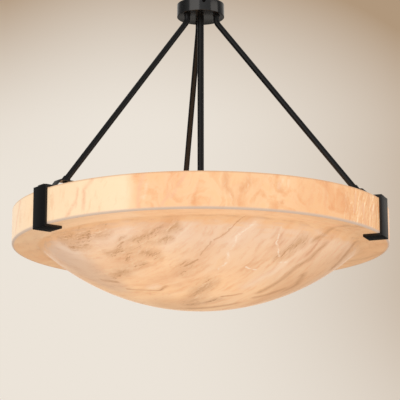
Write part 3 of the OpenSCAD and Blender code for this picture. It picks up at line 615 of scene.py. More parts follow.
dishVeins = {
    # tints, and the haze's strength by the mottle under it; a crease's painted shade and painted highlight,
    # tint and strength by its slope
    "veilTint": "#f8dfc8", "veilShare": 0.35, "haze": "#cfa179", "hazeShare": (0.25, 0.85),
    "creaseShadeAndHighlight": [("#a87347", (0.01, 0.09, 0.0, 0.65)), ("#fbdcbd", (-0.02, -0.1, 0.0, 0.5))],
    "lineTint": "#bd8b61", "crackShare": (0.1, 0.9),
    # veins in the dish as (points, reach): x and y in mm, as seen from above
    "veil": [
        ([(85, -160), (125, -200), (160, -225)], 24), ([(-345, -100), (-310, -125)], 28),
        ([(-265, -220), (-230, -265), (-205, -300)], 30), ([(-120, -295), (-80, -345)], 26),
        ([(30, -330), (70, -370)], 24), ([(-135, -115), (-120, -135)], 16),
    ],
    "cloud": [
        ([(-290, -215), (-255, -270)], 24), ([(-345, -140), (-290, -225)], 28),
        ([(-325, -130), (-285, -190)], 15), ([(-225, -215), (-210, -265), (-165, -300)], 17),
        ([(-160, -310), (-105, -350)], 20), ([(-235, -200), (-195, -255)], 20),
        ([(-195, -210), (-170, -255), (-135, -260)], 22), ([(-175, -280), (-110, -320)], 14),
        ([(-215, -115), (-195, -185), (-170, -215)], 26), ([(-75, -215), (-65, -250)], 24),
        ([(-30, -75), (-20, -155), (-5, -190)], 34), ([(-35, -40), (25, -90)], 24),
        ([(150, -260), (190, -290)], 28), ([(320, -75), (350, -150)], 16),
    ],
    "line": [
        ([(-70, -245), (-45, -270)], 4), ([(-40, -285), (-20, -325)], 3),
        ([(-15, -330), (20, -360), (45, -395)], 3),
        ([(225, -275), (245, -275), (295, -320), (330, -305)], 12),
        ([(125, -110), (150, -135), (195, -195), (230, -215), (255, -240)], 15),
        ([(195, -65), (220, -85), (225, -140)], 14), ([(310, -65), (330, -120), (345, -160)], 11),
        ([(-185, -60), (-110, -115), (-100, -145)], 6), ([(35, -110), (80, -120)], 7),
        ([(-25, 5), (80, -45)], 16), ([(120, -75), (190, -85)], 14), ([(-245, -50), (-210, -85)], 8),
        ([(395, 110), (425, 70), (440, 25), (455, -30)], 13),
    ],
    "crack": [
        ([(70, -370), (35, -340)], 4.5), ([(35, -340), (35, -320), (20, -300), (25, -270)], 3.5),
        ([(20, -265), (5, -240)], 3), ([(135, -345), (130, -310), (145, -260)], 3),
        ([(150, -240), (170, -230)], 3), ([(70, -245), (95, -230)], 3),
    ],
}

bandVeins = {
    "haze": "#dfa577", "hazeShare": (0.2, 0.7),
    # a crease's painted shade and painted highlight, tint and strength by its slope
    "creaseShadeAndHighlight": [("#d69867", (0.01, 0.09, 0.0, 0.4)), ("#fbdcbd", (-0.02, -0.1, 0.0, 0.5))],
    "lineTint": "#e8b592", "crackShare": (0.1, 0.35),
    # veins in the band as (points, reach): bearing in degrees and height over the ledge in mm
    "cloud": [
        ([(-91, 75), (-91, 50), (-89.5, 30), (-89.5, 5)], 11), ([(-84.5, 65), (-86, 45)], 14),
        ([(-76, 65), (-75.5, 50)], 9), ([(-78.5, 5), (-75, 25)], 8), ([(-60, 85), (-60, 45)], 8),
        ([(-52.5, 55), (-50, 5)], 10), ([(-39, 85), (-41, 55)], 10),
    ],
    "line": [
        ([(-165, 80), (-171, 10)], 9), ([(-129.5, 80), (-132, 60), (-132.5, 20)], 8),
        ([(-134.5, 65), (-135.5, 25)], 6), ([(-135.5, 35), (-139, 5)], 8), ([(-47.5, 70), (-48.5, 30)], 6),
        ([(-113.5, 80), (-115, 50), (-115, 5)], 8), ([(-106.5, 35), (-108.5, 5)], 6),
        ([(-102, 75), (-106, 25)], 6), ([(-44, 50), (-42, 0)], 6),
    ],
    "crack": [
        ([(-112.5, 55), (-113.5, 30)], 8), ([(-72.5, 70), (-73, 55)], 6), ([(-74.5, 75), (-76, 55)], 6),
        ([(-45.5, 55), (-46, 25)], 6), ([(-37, 60), (-38, 40)], 6),
    ],
}


def makeVeinGroup():
    # 1 along a straight piece of a vein, falling to 0 at its reach
    group = bpy.data.node_groups.new("veinPiece", "ShaderNodeTree")
    for label, kind in (("Place", "Vector"), ("From", "Vector"), ("Along", "Vector"), ("Share", "Vector"),
                        ("Reach", "Float")):
        group.interface.new_socket(label, in_out="INPUT", socket_type="NodeSocket" + kind)
    group.interface.new_socket("Value", in_out="OUTPUT", socket_type="NodeSocketFloat")
    enter = addNode(group, "NodeGroupInput").outputs
    offset = addNode(group, "ShaderNodeVectorMath", [enter["Place"], enter["From"]], operation="SUBTRACT")
    onto = addNode(group, "ShaderNodeVectorMath", [offset, enter["Share"]], operation="DOT_PRODUCT")
    nearest = addNode(group, "ShaderNodeVectorMath", {
        0: enter["Along"], "Scale": addNode(group, "ShaderNodeClamp", [onto])}, operation="SCALE")
    gap = addNode(group, "ShaderNodeVectorMath", [offset, nearest], operation="DISTANCE")
    value = addNode(group, "ShaderNodeMapRange", [gap, enter["Reach"], 0.0])
    addNode(group, "NodeGroupOutput", [value])
    return group


veinGroup = makeVeinGroup()


def strongest(tree, values):
    most = values[0]
    for value in values[1:]:
        most = addNode(tree, "ShaderNodeMath", [most, value], operation="MAXIMUM")
    return most


def drawVeins(tree, place, veins, onSheet):
    pieces = []
    for points, reach in veins:
        solid = [Vector((p[0], p[1], 0)) * mm for p in points]
        if not onSheet:
            turns = [math.radians(p[0]) for p in points]
            solid = [Vector((bowl["radius"] * math.cos(a), bowl["radius"] * math.sin(a), p[1])) * mm
                     for a, p in zip(turns, points)]
        for a, b in zip(solid, solid[1:]):
            pieces.append(addNode(tree, "ShaderNodeGroup", {
                "Place": place, "From": a, "Along": b - a, "Share": (b - a) / (b - a).length_squared,
                "Reach": reach * mm}, node_tree=veinGroup))
    return strongest(tree, pieces)


def nearSpots(tree, place, spots):
    # 1 inside the spots and 0 outside, as seen along Z
    inside = []
    for x, y, radius, *core in spots:
        gap = addNode(tree, "ShaderNodeVectorMath", [place, (x * mm, y * mm, 0)], operation="DISTANCE")
        inside.append(masked(tree, (gap, radius * mm, radius * (core[0] if core else spotCore) * mm)))
    return strongest(tree, inside)


def spotLayer(tree, place, name):
    spots, tint, strength = marbleSpots[name]
    return tint, masked(tree, nearSpots(tree, place, spots), strength)


def noiseLayer(tree, noise, tints, name):
    stops, strength = tints[name]
    return addNode(tree, "ShaderNodeValToRGB", [noise[name]], stops), strength, "MULTIPLY"


def pulledAbout(tree, place, size, far, detail):
    # how far a noise of one size pulls each place about
    noise = addNode(tree, "ShaderNodeTexNoise", {
        "Vector": place, "Scale": 1000 / size, "Detail": detail, "Roughness": 0.6})
    return noise, addNode(tree, "ShaderNodeVectorMath", [
        noise.outputs["Color"], (far * mm,) * 3, (-far / 2 * mm,) * 3], operation="MULTIPLY_ADD")


def acrylicPlaces(tree):
    # the places that the patterns are read at, with the origin in the ledge's plane
    place = addNode(tree, "ShaderNodeTexCoord").outputs["Object"]
    own = addNode(tree, "ShaderNodeVectorMath", [place, (0, 0, bowl["ledgeZ"] * mm)], operation="SUBTRACT")
    parts = addNode(tree, "ShaderNodeSeparateXYZ", [own]).outputs
    at = {"height": parts["Z"]}
    at["flat"] = addNode(tree, "ShaderNodeCombineXYZ", [parts["X"], parts["Y"]])
    at["wide"] = pulledAbout(tree, own, *marble["wide"])[1]
    at["grit"], narrow = pulledAbout(tree, own, *marble["narrow"])
    loose = addNode(tree, "ShaderNodeVectorMath", [own, at["wide"]], operation="ADD")
    at["loose"] = loose = addNode(tree, "ShaderNodeVectorMath", [loose, narrow], operation="ADD")
    at["sheet"] = addNode(tree, "ShaderNodeVectorMath", [loose, (1, 1, 0)], operation="MULTIPLY")
    at["pulledFlat"] = addNode(tree, "ShaderNodeVectorMath", [at["flat"], at["wide"]], operation="ADD")
    leaning = addNode(tree, "ShaderNodeVectorMath", [loose, (1, 1, marble["leaning"])], operation="MULTIPLY")
    for name, stretch in marble["stretch"].items():
        at[name] = addNode(tree, "ShaderNodeMapping", {
            "Vector": leaning, "Rotation": (0, 0, math.radians(marble["bearing"])), "Scale": (stretch, 1, 1)},
            vector_type="TEXTURE")
    at["upright"] = addNode(tree, "ShaderNodeMapping", {
        "Vector": loose, "Rotation": (0, math.radians(marble["lean"]), 0),
        "Scale": (1, 1, marble["upright"])}, vector_type="TEXTURE")
    for name, step in marble["beside"].items():
        aside = addNode(tree, "ShaderNodeVectorMath", [at[name], Vector(step) * mm], operation="ADD")
        at[name + "Beside"] = aside

    at["reach"] = addNode(tree, "ShaderNodeVectorMath", [at["flat"]], operation="LENGTH")
    out = addNode(tree, "ShaderNodeCombineXYZ", {"Z": masked(tree, at["reach"], marble["outPace"])})
    heading = addNode(tree, "ShaderNodeVectorMath", [at["flat"]], operation="NORMALIZE")
    around = addNode(tree, "ShaderNodeVectorMath", [heading, (marble["aroundPace"],) * 3, out],
                     operation="MULTIPLY_ADD")
    at["around"] = addNode(tree, "ShaderNodeVectorMath", [around, at["wide"]], operation="ADD")
    return at


def acrylicNoises(tree, at):
    noise = {}
    for name, (where, size, detail, rough, twist) in marble["noises"].items():
        noise[name] = addNode(tree, "ShaderNodeTexNoise", {
            "Vector": at[where], "Scale": 1000 / size, "Detail": detail, "Roughness": rough,
            "Distortion": twist})
    # slopes of the crumb and pucker noises, for painted shade and highlight on creases and puckers
    for name, first in (("crease", "crumb"), ("puckerSlope", "pucker")):
        aside = noise[first + "Beside"]
        noise[name] = addNode(tree, "ShaderNodeMath", [noise[first], aside], operation="SUBTRACT")
    off = addNode(tree, "ShaderNodeMath", [noise["hair"], 0.5], operation="SUBTRACT")
    off = addNode(tree, "ShaderNodeMath", [off], operation="ABSOLUTE")
    noise["hair"] = masked(tree, (off, marble["hairWidth"], 0.0))
    return noise


def dishColour(tree, at, noise):
    # cool and pinkish under the ledge, where a painted sheen lies over the sheet's own tone, warmer towards
    # its middle, with soft streaks; the ledge is deeper; painted shade on the dish, its left flank and the
    # ledge's ends
    warm = addNode(tree, "ShaderNodeMapRange", [at["height"], *marble["warmAt"]])
    drift = addNode(tree, "ShaderNodeMath", [noise["tone"], *marble["warmDrift"]], operation="MULTIPLY_ADD")
    warm = addNode(tree, "ShaderNodeMath", [warm, drift], operation="ADD")
    dish = addNode(tree, "ShaderNodeValToRGB", [warm], dishTints["sheenToWarmth"])
    hairTint, hairShare = dishTints["hair"]
    hairs = masked(tree, noise["hair"], (noise["tone"], *dishTints["hairTone"]), hairShare)
    # the last two layers are painted shade: darker patches, and a darker, greyer left flank
    dish = layered(
        tree, dish, noiseLayer(tree, noise, dishTints, "veil"), noiseLayer(tree, noise, dishTints, "fine"),
        (hairTint, hairs), spotLayer(tree, at["flat"], "dishShade"), spotLayer(tree, at["flat"], "leftFlankShade"))
    ledge = addNode(tree, "ShaderNodeValToRGB", [noise["veil"]], dishTints["ledge"])
    streakTint, streakSpan = dishTints["streak"]
    # the spots on the ledge are painted shade at its ends
    ledge = layered(
        tree, ledge, spotLayer(tree, at["flat"], "ledgeEndShade"),
        (streakTint, masked(tree, (noise["ring"], *streakSpan))))
    edge = addNode(tree, "ShaderNodeMath", [noise["ring"], marble["ledgeShift"], at["height"]],
                   operation="MULTIPLY_ADD")
    return layered(tree, dish, (ledge, masked(tree, (edge, *marble["ledgeAt"]))))


def bandColour(tree, at, noise):
    # a strip of its own, smooth, with soft patches and faint upright pleats; a painted pool of lamp light
    # makes one side paler, painted shade deepens the other, and puckers get painted shade and highlight
    band = addNode(tree, "ShaderNodeValToRGB", [noise["tone"]], bandTints["tone"])
    slope = masked(tree, noise["puckerSlope"], nearSpots(tree, at["flat"], puckerSpots))
    # painted shade on the band's right and a painted pool of lamp light on its left
    return layered(
        tree, band, spotLayer(tree, at["flat"], "bandRightShade"), noiseLayer(tree, noise, bandTints, "patch"),
        spotLayer(tree, at["pulledFlat"], "lampGlowPool"), noiseLayer(tree, noise, bandTints, "pleat"),
        *[(tint, masked(tree, (slope, *span))) for tint, span in bandTints["puckerShadeAndHighlight"]])


def veinLayers(tree, at, noise, veins, clear, onSheet):
    # the powder's veins: soft pale veils, brown clouds whose curled wisps are painted shade and painted
    # highlight, thin dark lines and white cracks
    where = at["sheet" if onSheet else "loose"]
    drawn = {kind: masked(tree, drawVeins(tree, where, veins[kind], onSheet), clear)
             for kind in ("veil", "cloud", "line", "crack") if kind in veins}
    layers = []
    if "veil" in drawn:
        layers.append((veins["veilTint"], masked(tree, drawn["veil"], veins["veilShare"])))
    mottle = addNode(tree, "ShaderNodeMath", [noise["crumb"], noise["veil"]], operation="ADD")
    haze = (mottle, *veinEdges["mottle"], *veins["hazeShare"])
    layers.append((veins["haze"], masked(tree, drawn["cloud"], haze)))
    # painted shade and painted highlight on the clouds' creases
    for tint, span in veins["creaseShadeAndHighlight"]:
        layers.append((tint, masked(tree, drawn["cloud"], (noise["crease"], *span))))
    hairs = masked(tree, noise["hair"], veinEdges["hairs"])
    strands = masked(tree, (noise["fine"], *veinEdges["strands"]))
    strands = addNode(tree, "ShaderNodeMath", [strands, hairs], operation="ADD", use_clamp=True)
    layers.append((veins["lineTint"], masked(tree, drawn["line"], strands, veinEdges["lines"])))
    breaks = (at["grit"], *veinEdges["breaks"], *veins["crackShare"])
    layers.append((veinEdges["crack"], masked(tree, drawn["crack"], breaks)))
    return layers


def castAcrylic(name, veins, onSheet):
    # Faux alabaster: acrylic sheet cast with swirls of mineral powder, thermoformed, and lit from inside
    material, tree = newMaterial(name)
    at = acrylicPlaces(tree)
    noise = acrylicNoises(tree, at)
    onBand = masked(tree, (at["height"], *marble["bandAt"]))
    clear = addNode(tree, "ShaderNodeMath", [1.0, onBand], operation="SUBTRACT") if onSheet else 1.0
    section = addNode(tree, "ShaderNodeCombineXYZ", [at["reach"], at["height"]])
    corner = (bowl["radius"] * mm, 0, 0)
    toCorner = addNode(tree, "ShaderNodeVectorMath", [section, corner], operation="DISTANCE")
    toRim = addNode(tree, "ShaderNodeMath", [bowl["band"] * mm, at["height"]], operation="SUBTRACT")
    edges = [(tint, masked(tree, (gap, *span)))
             for gap, (tint, span) in ((toCorner, edgeTints["corner"]), (toRim, edgeTints["rim"]))]
    colour = layered(
        tree, dishColour(tree, at, noise), (bandColour(tree, at, noise), onBand),
        *veinLayers(tree, at, noise, veins, clear, onSheet), *edges)
    return finishSkin(material, noise["veil"], (0.32, 0.42), (at["grit"], 0.08, 0.0002), {
        "Base Color": layered(tree, colour, (marble["paint"], 1.0, "MULTIPLY")), "IOR": 1.49,
        "Specular IOR Level": 0.3, "Emission Color": colour, "Emission Strength": marble["glow"],
        "Coat Weight": 0.45, "Coat Roughness": 0.25, "Coat IOR": 1.5,
        "Sheen Weight": 0.2, "Sheen Roughness": 0.3, "Sheen Tint": "#b9b0b0"})


blackPaint = powderCoat("powderCoatedSteel", ("#111112", "#151516", "#050505"), (0.34, 0.4), 1.2, 0.04, 0.38)
glossPaint = powderCoat(
    "glossPowderCoatedSteel", ("#141414", "#181818", "#0a0a0a"), (0.13, 0.2), 2.4, 0.08, 1.0)
blackOxide = plated("blackOxidedSteel", ("#18181a", "#222226"), (0.3, 0.45), 0.8, (1, 1, 1))
zincPlate = plated("zincPlatedSteel", ("#aeb3b6", "#cfd2cf"), (0.26, 0.4), 1.0, (1, 1, 0.2))
brassSheet = plated("stampedBrass", ("#b98a3d", "#d6ab58"), (0.22, 0.34), 0.8, (1, 1, 0.2))
nickelPlate = plated("nickelPlatedBrass", ("#a9a69d", "#cbc7bb"), (0.24, 0.36), 0.8, (1, 1, 0.3))
porcelain = moulded("glazedPorcelain", ("#e4dfd3", "#f1eee4", "#c9c0ae"), (0.1, 0.2), 7.0, 0.5)
blockPlastic = moulded("mouldedPolyamide", ("#d9d5c8", "#e6e2d6", "#b9b3a3"), (0.4, 0.5), 3.0, 0.0)
connectorPlastic = moulded("mouldedPolypropylene", ("#c4641f", "#d9772b", "#b05516"), (0.36, 0.5), 2.5, 0.0)
cableSheath = moulded("extrudedCableSheath", ("#2c2c2d", "#39393a", "#222222"), (0.45, 0.6), 2.0, 0.0)
earthSheath = moulded("extrudedEarthSheath", ("#3c8a3e", "#5aa64a", "#2d6e33"), (0.4, 0.55), 2.0, 0.0)
leadSleeve = moulded("siliconeLeadSleeve", ("#7d2b25", "#96392f", "#62211c"), (0.5, 0.65), 1.5, 0.0)
greenPaint = powderCoat("greenEarthScrewPaint", ("#2f6f3b", "#3a8247", "#16301b"), (0.3, 0.42), 0.8, 0.15)
felt = pressedFelt()
bulbGlass = etchedGlass()
dishSheet = castAcrylic("castAcrylicDish", dishVeins, True)
bandStrip = castAcrylic("castAcrylicBand", bandVeins, False)
print("finishes made")


# Bowl

def domeLine(inset):
    # the dome's and the fillet's line, from the axis out to the flat ledge
    low = bowl["ledgeZ"] + inset
    domeR = bowl["radius"] - bowl["ledge"]
    arc = (domeR ** 2 + bowl["depth"] ** 2) / (2 * bowl["depth"])
    middle = bowl["ledgeZ"] + arc - bowl["depth"]
    hollowR = math.sqrt((arc + bowl["fillet"]) ** 2 - (arc - bowl["depth"] + bowl["fillet"]) ** 2)
    hollow = Vector((hollowR, bowl["ledgeZ"] - bowl["fillet"]))
    toHollow = (hollow - Vector((0, middle))).normalized()
    end, start = math.atan2(toHollow.y, toHollow.x), math.atan2(-toHollow.y, -toHollow.x)
    points = arcPoints((0, middle), arc - inset, -math.pi / 2, end, bowl["domeSteps"])
    points += arcPoints(hollow, bowl["fillet"] + inset, start, math.pi / 2, bowl["filletSteps"], 1)
    points[0], points[-1] = (0, points[0][1]), (hollow.x, low)
    return points


def makeBowl():
    outer, inner, edge = domeLine(0), domeLine(bowl["wall"]), bowl["edge"]
    seam = bowl["ledgeZ"] + bowl["wall"]
    side = [(bowl["radius"] - edge - bowl["lap"], bowl["ledgeZ"])]
    side += arcPoints((bowl["radius"] - edge, bowl["ledgeZ"] + edge), edge, -math.pi / 2, 0, 8)
    side += [(bowl["radius"], seam), (bowl["radius"] - bowl["wall"], seam)]
    dish = turnedMesh("bowlDish", outer + side + inner[::-1], bowl["steps"], dishSheet, closed=False)
    fit("bowlDish", dish, "fixture", ["bowl"])
    rim, wallIn = bowl["rim"], bowl["radius"] - bowl["wall"]
    band = rounded(
        [(wallIn, seam), (bowl["radius"], seam), (bowl["radius"], rimZ), (wallIn, rimZ)], [0, 0, rim, rim])
    ring = turnedMesh("bowlBand", band, bowl["steps"], bandStrip)
    fit("bowlBand", ring, "fixture", ["bowl_band"])
    print("bowl made:", len(dish.polygons) + len(ring.polygons), "faces")


# Canopy and its screws

canopy = {
    "radius": 59.15, "height": 32.0, "wall": 1.5, "floor": 3.0, "edge": 0.8, "lip": 0.4, "steps": 192,
    "screwZ": 7.0, "screwR": 2.5, "headR": 4.25, "headH": 3.5, "slotW": 1.2, "slotH": 1.0, "gap": 0.3,
    "knurls": 32, "knurlDepth": 0.35, "knurlEnds": (0.5, 1.2), "threadPitch": 0.8, "threadDepth": 0.35,
    "shankOut": 1.5, "pointGap": 0.14, "bladeL": 18.0,
}
floorZ = canopy["floor"] - canopy["height"]
canopyIn = canopy["radius"] - canopy["wall"]


def makeCanopy():
    outline = rounded(
        [(0, -canopy["height"]), (canopy["radius"], -canopy["height"]), (canopy["radius"], 0), (canopyIn, 0),
            (canopyIn, floorZ), (0, floorZ)],
        [0, canopy["edge"], canopy["lip"], canopy["lip"], 1, 0])
    cup = turnedMesh("canopy", outline, canopy["steps"], glossPaint, closed=False)
    fit("canopyCup", cup, "fixture", ["canopy"])
    for side in (-1, 1):
        start, headR, headH = canopy["radius"] + canopy["gap"], canopy["headR"], canopy["headH"]
        shankEnd = strap["earY"] - strap["thick"] - canopy["shankOut"]
        outline = rounded(
            [(0, shankEnd), (canopy["screwR"], shankEnd), (canopy["screwR"], start), (headR, start),
                (headR, start + headH), (0, start + headH)],
            [0, 0.5, 0, 0.4, headH / 3, 0])
        outline = denser(outline, canopy["pointGap"])
        knurlLow, knurlHigh = canopy["knurlEnds"]
        screw = turnedMesh("screw", outline, 96, blackOxide, closed=False)
        screw = ribbedMesh("screw", screw, canopy["threadDepth"], canopy["threadPitch"], 1, (shankEnd, start),
                           canopy["screwR"] - 0.5, blackOxide)
        screw = ribbedMesh("screw", screw, canopy["knurlDepth"], 0, canopy["knurls"],
                           (start + knurlLow, start + headH - knurlHigh), headR - 0.1, blackOxide)
        top = start + headH
        blade = slotCutter(canopy["bladeL"], canopy["slotW"], top - canopy["slotH"], top + 2, blackOxide)
        screw = soften(without(screw, [blade]), 50)
        placed = moved(screw, shift(0, 0, -canopy["screwZ"]) @ Matrix.Rotation(side * -math.pi / 2, 4, "X"))
        number = 1 if side < 0 else 2
        fit(f"canopyScrew{number}", placed, f"side_screw_{number}",
            [f"canopy_screw_{number}"])
    print("canopy made")


def denser(outline, step):
    # the same outline with points no further apart than the step
    out = []
    for a, b in zip(outline, outline[1:]):
        count = max(1, math.ceil(math.dist(a, b) / step))
        out += [(a[0] + (b[0] - a[0]) * i / count, a[1] + (b[1] - a[1]) * i / count) for i in range(count)]
    return out + [outline[-1]]


# Mounting strap, earth screw and wiring in the canopy

strap = {
    "width": 20.0, "thick": 2.5, "ear": 14.0, "bend": 1.5, "slotPitch": 79.4, "slotL": 14.2, "slotW": 4.6,
    "earthY": 22.0, "earthR": 2.0, "tab": 0.8, "edge": 0.5, "crossL": 5.2, "crossW": 0.9, "crossDepth": 0.9,
    "drillL": 80.0,
}
strap["earY"] = math.sqrt(canopyIn ** 2 - (strap["width"] / 2) ** 2) - 0.3

wiring = {
    "cableR": 3.5, "wireR": 1.2, "cableOut": 11.0, "bend": 4.0, "rise": 0.6, "gap": 0.3, "lift": 0.1,
    "connectorR": 5.0, "connectorTip": 3.0, "connectorL": 18.0, "connectorX": 14.0,
    "ribs": 14, "ribDepth": 0.45,
}
cableTop = floorZ + wiring["cableOut"]


def makeStrap():
    ear, low = strap["earY"], -strap["ear"]
    line = strip([(ear, low), (ear, 0), (-ear, 0), (-ear, low)], strap["thick"], strap["bend"])
    bar = barMesh("strap", line, strap["width"], strap["edge"], zincPlate)
    bar.transform(turnZ(90))
    cutters = [prism(stadium(0, side * strap["slotPitch"] / 2, strap["slotW"] / 2,
                             strap["slotL"] - strap["slotW"], "y"), -5, 2, zincPlate) for side in (-1, 1)]
    holeR, reach = canopy["screwR"] + arm["slack"], strap["drillL"]
    hole = stackMesh("hole", [(0, -reach), (holeR, -reach), (holeR, reach), (0, reach)], 48, zincPlate)
    cutters.append(moved(hole, shift(0, 0, -canopy["screwZ"]) @ Matrix.Rotation(math.pi / 2, 4, "X")))
    bar = soften(without(bar, cutters))
    fit("mountingStrap", bar, "fixture", ["mounting_strap"])

    y, r, top = strap["earthY"], strap["earthR"], -strap["thick"] - strap["tab"]
    screw = stackMesh("earthScrew", [
        (0, top - r), (2 * r - 0.5, top - r), (2 * r - 0.15, top - r + 0.15), (2 * r, top - r + 0.5),
        (2 * r, top), (r, top), (r, 0), (0, 0)], 48, greenPaint)
    low = top - r
    cross = slotCutter(strap["crossL"], strap["crossW"], low - 1, low + strap["crossDepth"], greenPaint)
    screw = soften(without(screw, [cross, moved(cross, turnZ(90))]))
    fit("earthScrew", moved(screw, shift(0, y, 0)), "fixture", ["earth_screw"])


def bentPath(x, y, low, high, out, bend):
    # straight up and then round a bend, out along +X
    turn = [(u, y, z) for u, z in arcPoints((x + bend, high), bend, math.pi, math.pi / 2, 12, 1)]
    return [(x, y, low), (x, y, high)] + turn + [(out, y, high + bend)]


def makeWiring():
    start = wiring["wireR"] + wiring["gap"]
    wire = tubeMesh("wire", bentPath(
        start, 0, cableTop, cableTop + wiring["rise"], wiring["connectorX"], wiring["bend"]),
        wiring["wireR"], 20, cableSheath)
    core = tubeMesh("core", [(0, 0, axisZ + 6), (0, 0, cableTop)], wiring["cableR"], 40, cableSheath)
    fit("supplyCable", joinMeshes("cable", [core, wire, moved(wire, turnZ(180))]), "fixture",
        ["supply_cable"])

    r, tip, length = wiring["connectorR"], wiring["connectorTip"], wiring["connectorL"]
    outline = denser(rounded([(0, 0), (r, 0), (tip, length), (0, length)], [0, 0.4, 1.5, 0]), 0.5)
    cap = turnedMesh("cap", outline, 112, connectorPlastic, closed=False)
    cap = ribbedMesh("cap", cap, wiring["ribDepth"], 0, wiring["ribs"], (2.5, length - 2.2), tip * 0.9,
                     connectorPlastic)
    lying = shift(wiring["connectorX"], 0, cableTop + wiring["rise"] + wiring["bend"])
    cap = moved(cap, lying @ turnY(90))
    fit("wireConnectors", joinMeshes("caps", [cap, moved(cap, turnZ(180))]), "fixture",
        ["wire_connectors"])

    wireZ = -strap["thick"] - wiring["wireR"] - wiring["lift"]
    tabR = 2 * strap["earthR"] + 1
    stand = math.sqrt((2 * wiring["wireR"] + wiring["lift"]) ** 2 - start ** 2)
    lead = tubeMesh("lead", [
        (stand, 0, cableTop), (stand, 0, wireZ - 1.2), (stand + 0.35, 0, wireZ - 0.35),
        (stand + 1.2, 0, wireZ), (strap["earthY"] - tabR + 0.6, 0, wireZ)], wiring["wireR"], 20, earthSheath)
    tab = stackMesh("tab", [
        (strap["earthR"] + 0.05, 0), (tabR, 0), (tabR, strap["tab"]), (strap["earthR"] + 0.05, strap["tab"])],
        48, zincPlate, closed=True)
    tab = moved(tab, shift(strap["earthY"], 0, -strap["thick"] - strap["tab"]))
    lead = moved(joinMeshes("earth", [lead, tab]), turnZ(90))
    fit("earthLead", lead, "fixture", ["earth_lead"])
    print("strap and wiring made")


# Arms, collars, ferrules and stem

arm = {
    "count": 3, "first": 90, "radius": 7.15, "topR": 42.2, "neck": 19.0, "bend": 25.0,
    "collarR": 8.6, "collarH": 3.0, "ferruleR": 9.25, "ferruleL": 8.8, "sides": 48,
    "nippleR": 5.1, "nippleBore": 3.0, "nippleIn": 12.0, "nutW": 17.0, "nutH": 5.0, "washer": 1.0, "out": 2.0,
    "pitch": 1.0, "threadDepth": 0.45, "stemR": 7.95, "stemWall": 1.6, "stemNippleR": 6.3, "stemBore": 4.0,
    "stemNutW": 22.0, "slack": 0.05,
}

clip = {
    "bar": 6.0, "width": 50.8, "lower": 46.8, "upper": 33.6, "edge": 1.4, "tip": 0.4, "soft": 0.3,
    "pad": 0.8, "padInset": 1.4, "padGap": 0.6,
}

foot = {
    "width": 25.0, "bar": 3.0, "lift": 18.1, "lean": 13.6, "step": 3.4, "bend": 2.0, "seatIn": 18.6,
    "shelfEnd": 8.0, "end": 3.6, "release": 2.6, "screwR": 3.0, "slack": 0.3, "soft": 0.4,
    "screwIn": 10.6, "screwPitch": 14.0, "sinkR": 4.5, "socketW": 3.0, "holeEdge": 0.25,
    "clipScrewR": 2.5, "clipScrewL": 8.7, "hexW": 8.8, "hexH": 3.6, "boltIn": 5.9, "washerR": 6.63,
    "washer": 1.0,
}
faceR = bowl["radius"] + clip["padGap"] + clip["pad"] + clip["bar"]
padTop, padBottom = rimZ + bowl["restGap"] + clip["pad"], bowl["ledgeZ"] - bowl["restGap"] - clip["pad"]
clipTop, clipBottom = padTop + clip["bar"], padBottom - clip["bar"]
stepLowR = faceR - clip["upper"] - foot["step"]
stepHighR = stepLowR - foot["lean"]
shelfZ = clipTop + foot["lift"] + foot["bar"]
seatR = stepHighR - foot["seatIn"]
travel = clip["lower"] - (faceR - bowl["radius"]) + foot["release"]

lamp = {
    "count": 6, "first": 232, "rise": 28.0, "hubR": 48.0, "hubH": 34.0, "hubWall": 1.5, "hubEdge": 3.0,
    "flange": 12.0, "reach": 40.0, "holderR": 19.0, "holderL": 44.0, "holderBack": 12.0, "shellR": 13.05,
    "shellWall": 0.5, "shellL": 28.0, "lip": 7.0, "lipStep": 2.0, "length": 108.0, "globeR": 30.0,
    "neckR": 12.9, "neckStraight": 4.0, "glass": 0.8, "capL": 27.0, "nippleR": 5.0, "nippleBore": 3.0,
    "nippleSeat": 6.0, "nutW": 14.0, "nutH": 4.0, "contactR": 3.5, "contactL": 2.5, "contactSink": 1.0,
    "pitch": 1.5, "nippleThread": 0.6, "capPitch": 3.63, "capDepth": 0.85, "capTipR": 4.5, "coverScrewR": 2.0,
    "coverSlotW": 1.0, "coverSlotDepth": 0.9, "blockR": 12.0, "blockH": 12.0, "leadR": 1.2,
}
axisZ = bowl["ledgeZ"] + lamp["rise"]
hubTop, hubLow = axisZ + lamp["hubH"] / 2, axisZ - lamp["hubH"] / 2
holderX = lamp["hubR"] + lamp["reach"]
socketX = holderX + lamp["holderBack"]
tipX = socketX - lamp["contactSink"] + lamp["contactL"] + bowl["restGap"]


def threadedTube(name, radius, bore, low, high, pitch, depth, finish):
    # a nipple: a plain bore and a rolled thread outside, six points to a turn of the thread
    wall = denser([(radius, low + 0.3), (radius, high - 0.3)], pitch / 6)
    outline = [(bore, low), (radius - 0.3, low)] + wall + [(radius - 0.3, high), (bore, high)]
    tube = turnedMesh(name, outline, 24, finish)
    return ribbedMesh(name, tube, depth, pitch, 1, (low + 0.4, high - 0.4), (radius + bore) / 2, finish)


def nutMesh(name, width, height, bore, finish):
    corner, face, rise = width / math.sqrt(3), width / 2 * 0.97, width * 0.05
    middle = (face + corner) / 2
    rings = [(bore + 0.5, 0), (face, 0), (middle, rise / 2, width), (corner, rise, width),
             (corner, height - rise, width), (middle, height - rise / 2, width), (face, height),
             (bore + 0.5, height), (bore, height - 0.5), (bore, 0.5)]
    return stackMesh(name, rings, 48, finish, closed=True)


def washerMesh(bore, radius, height, finish):
    soft = height / 5
    return stackMesh("washer", [
        (bore, 0), (radius - soft, 0), (radius, soft), (radius, height - soft), (radius - soft, height),
        (bore, height)], 48, finish, closed=True)


def roundArms(mesh, finish):
    return ringMesh("roundArms", mesh, arm["count"], arm["first"], finish)


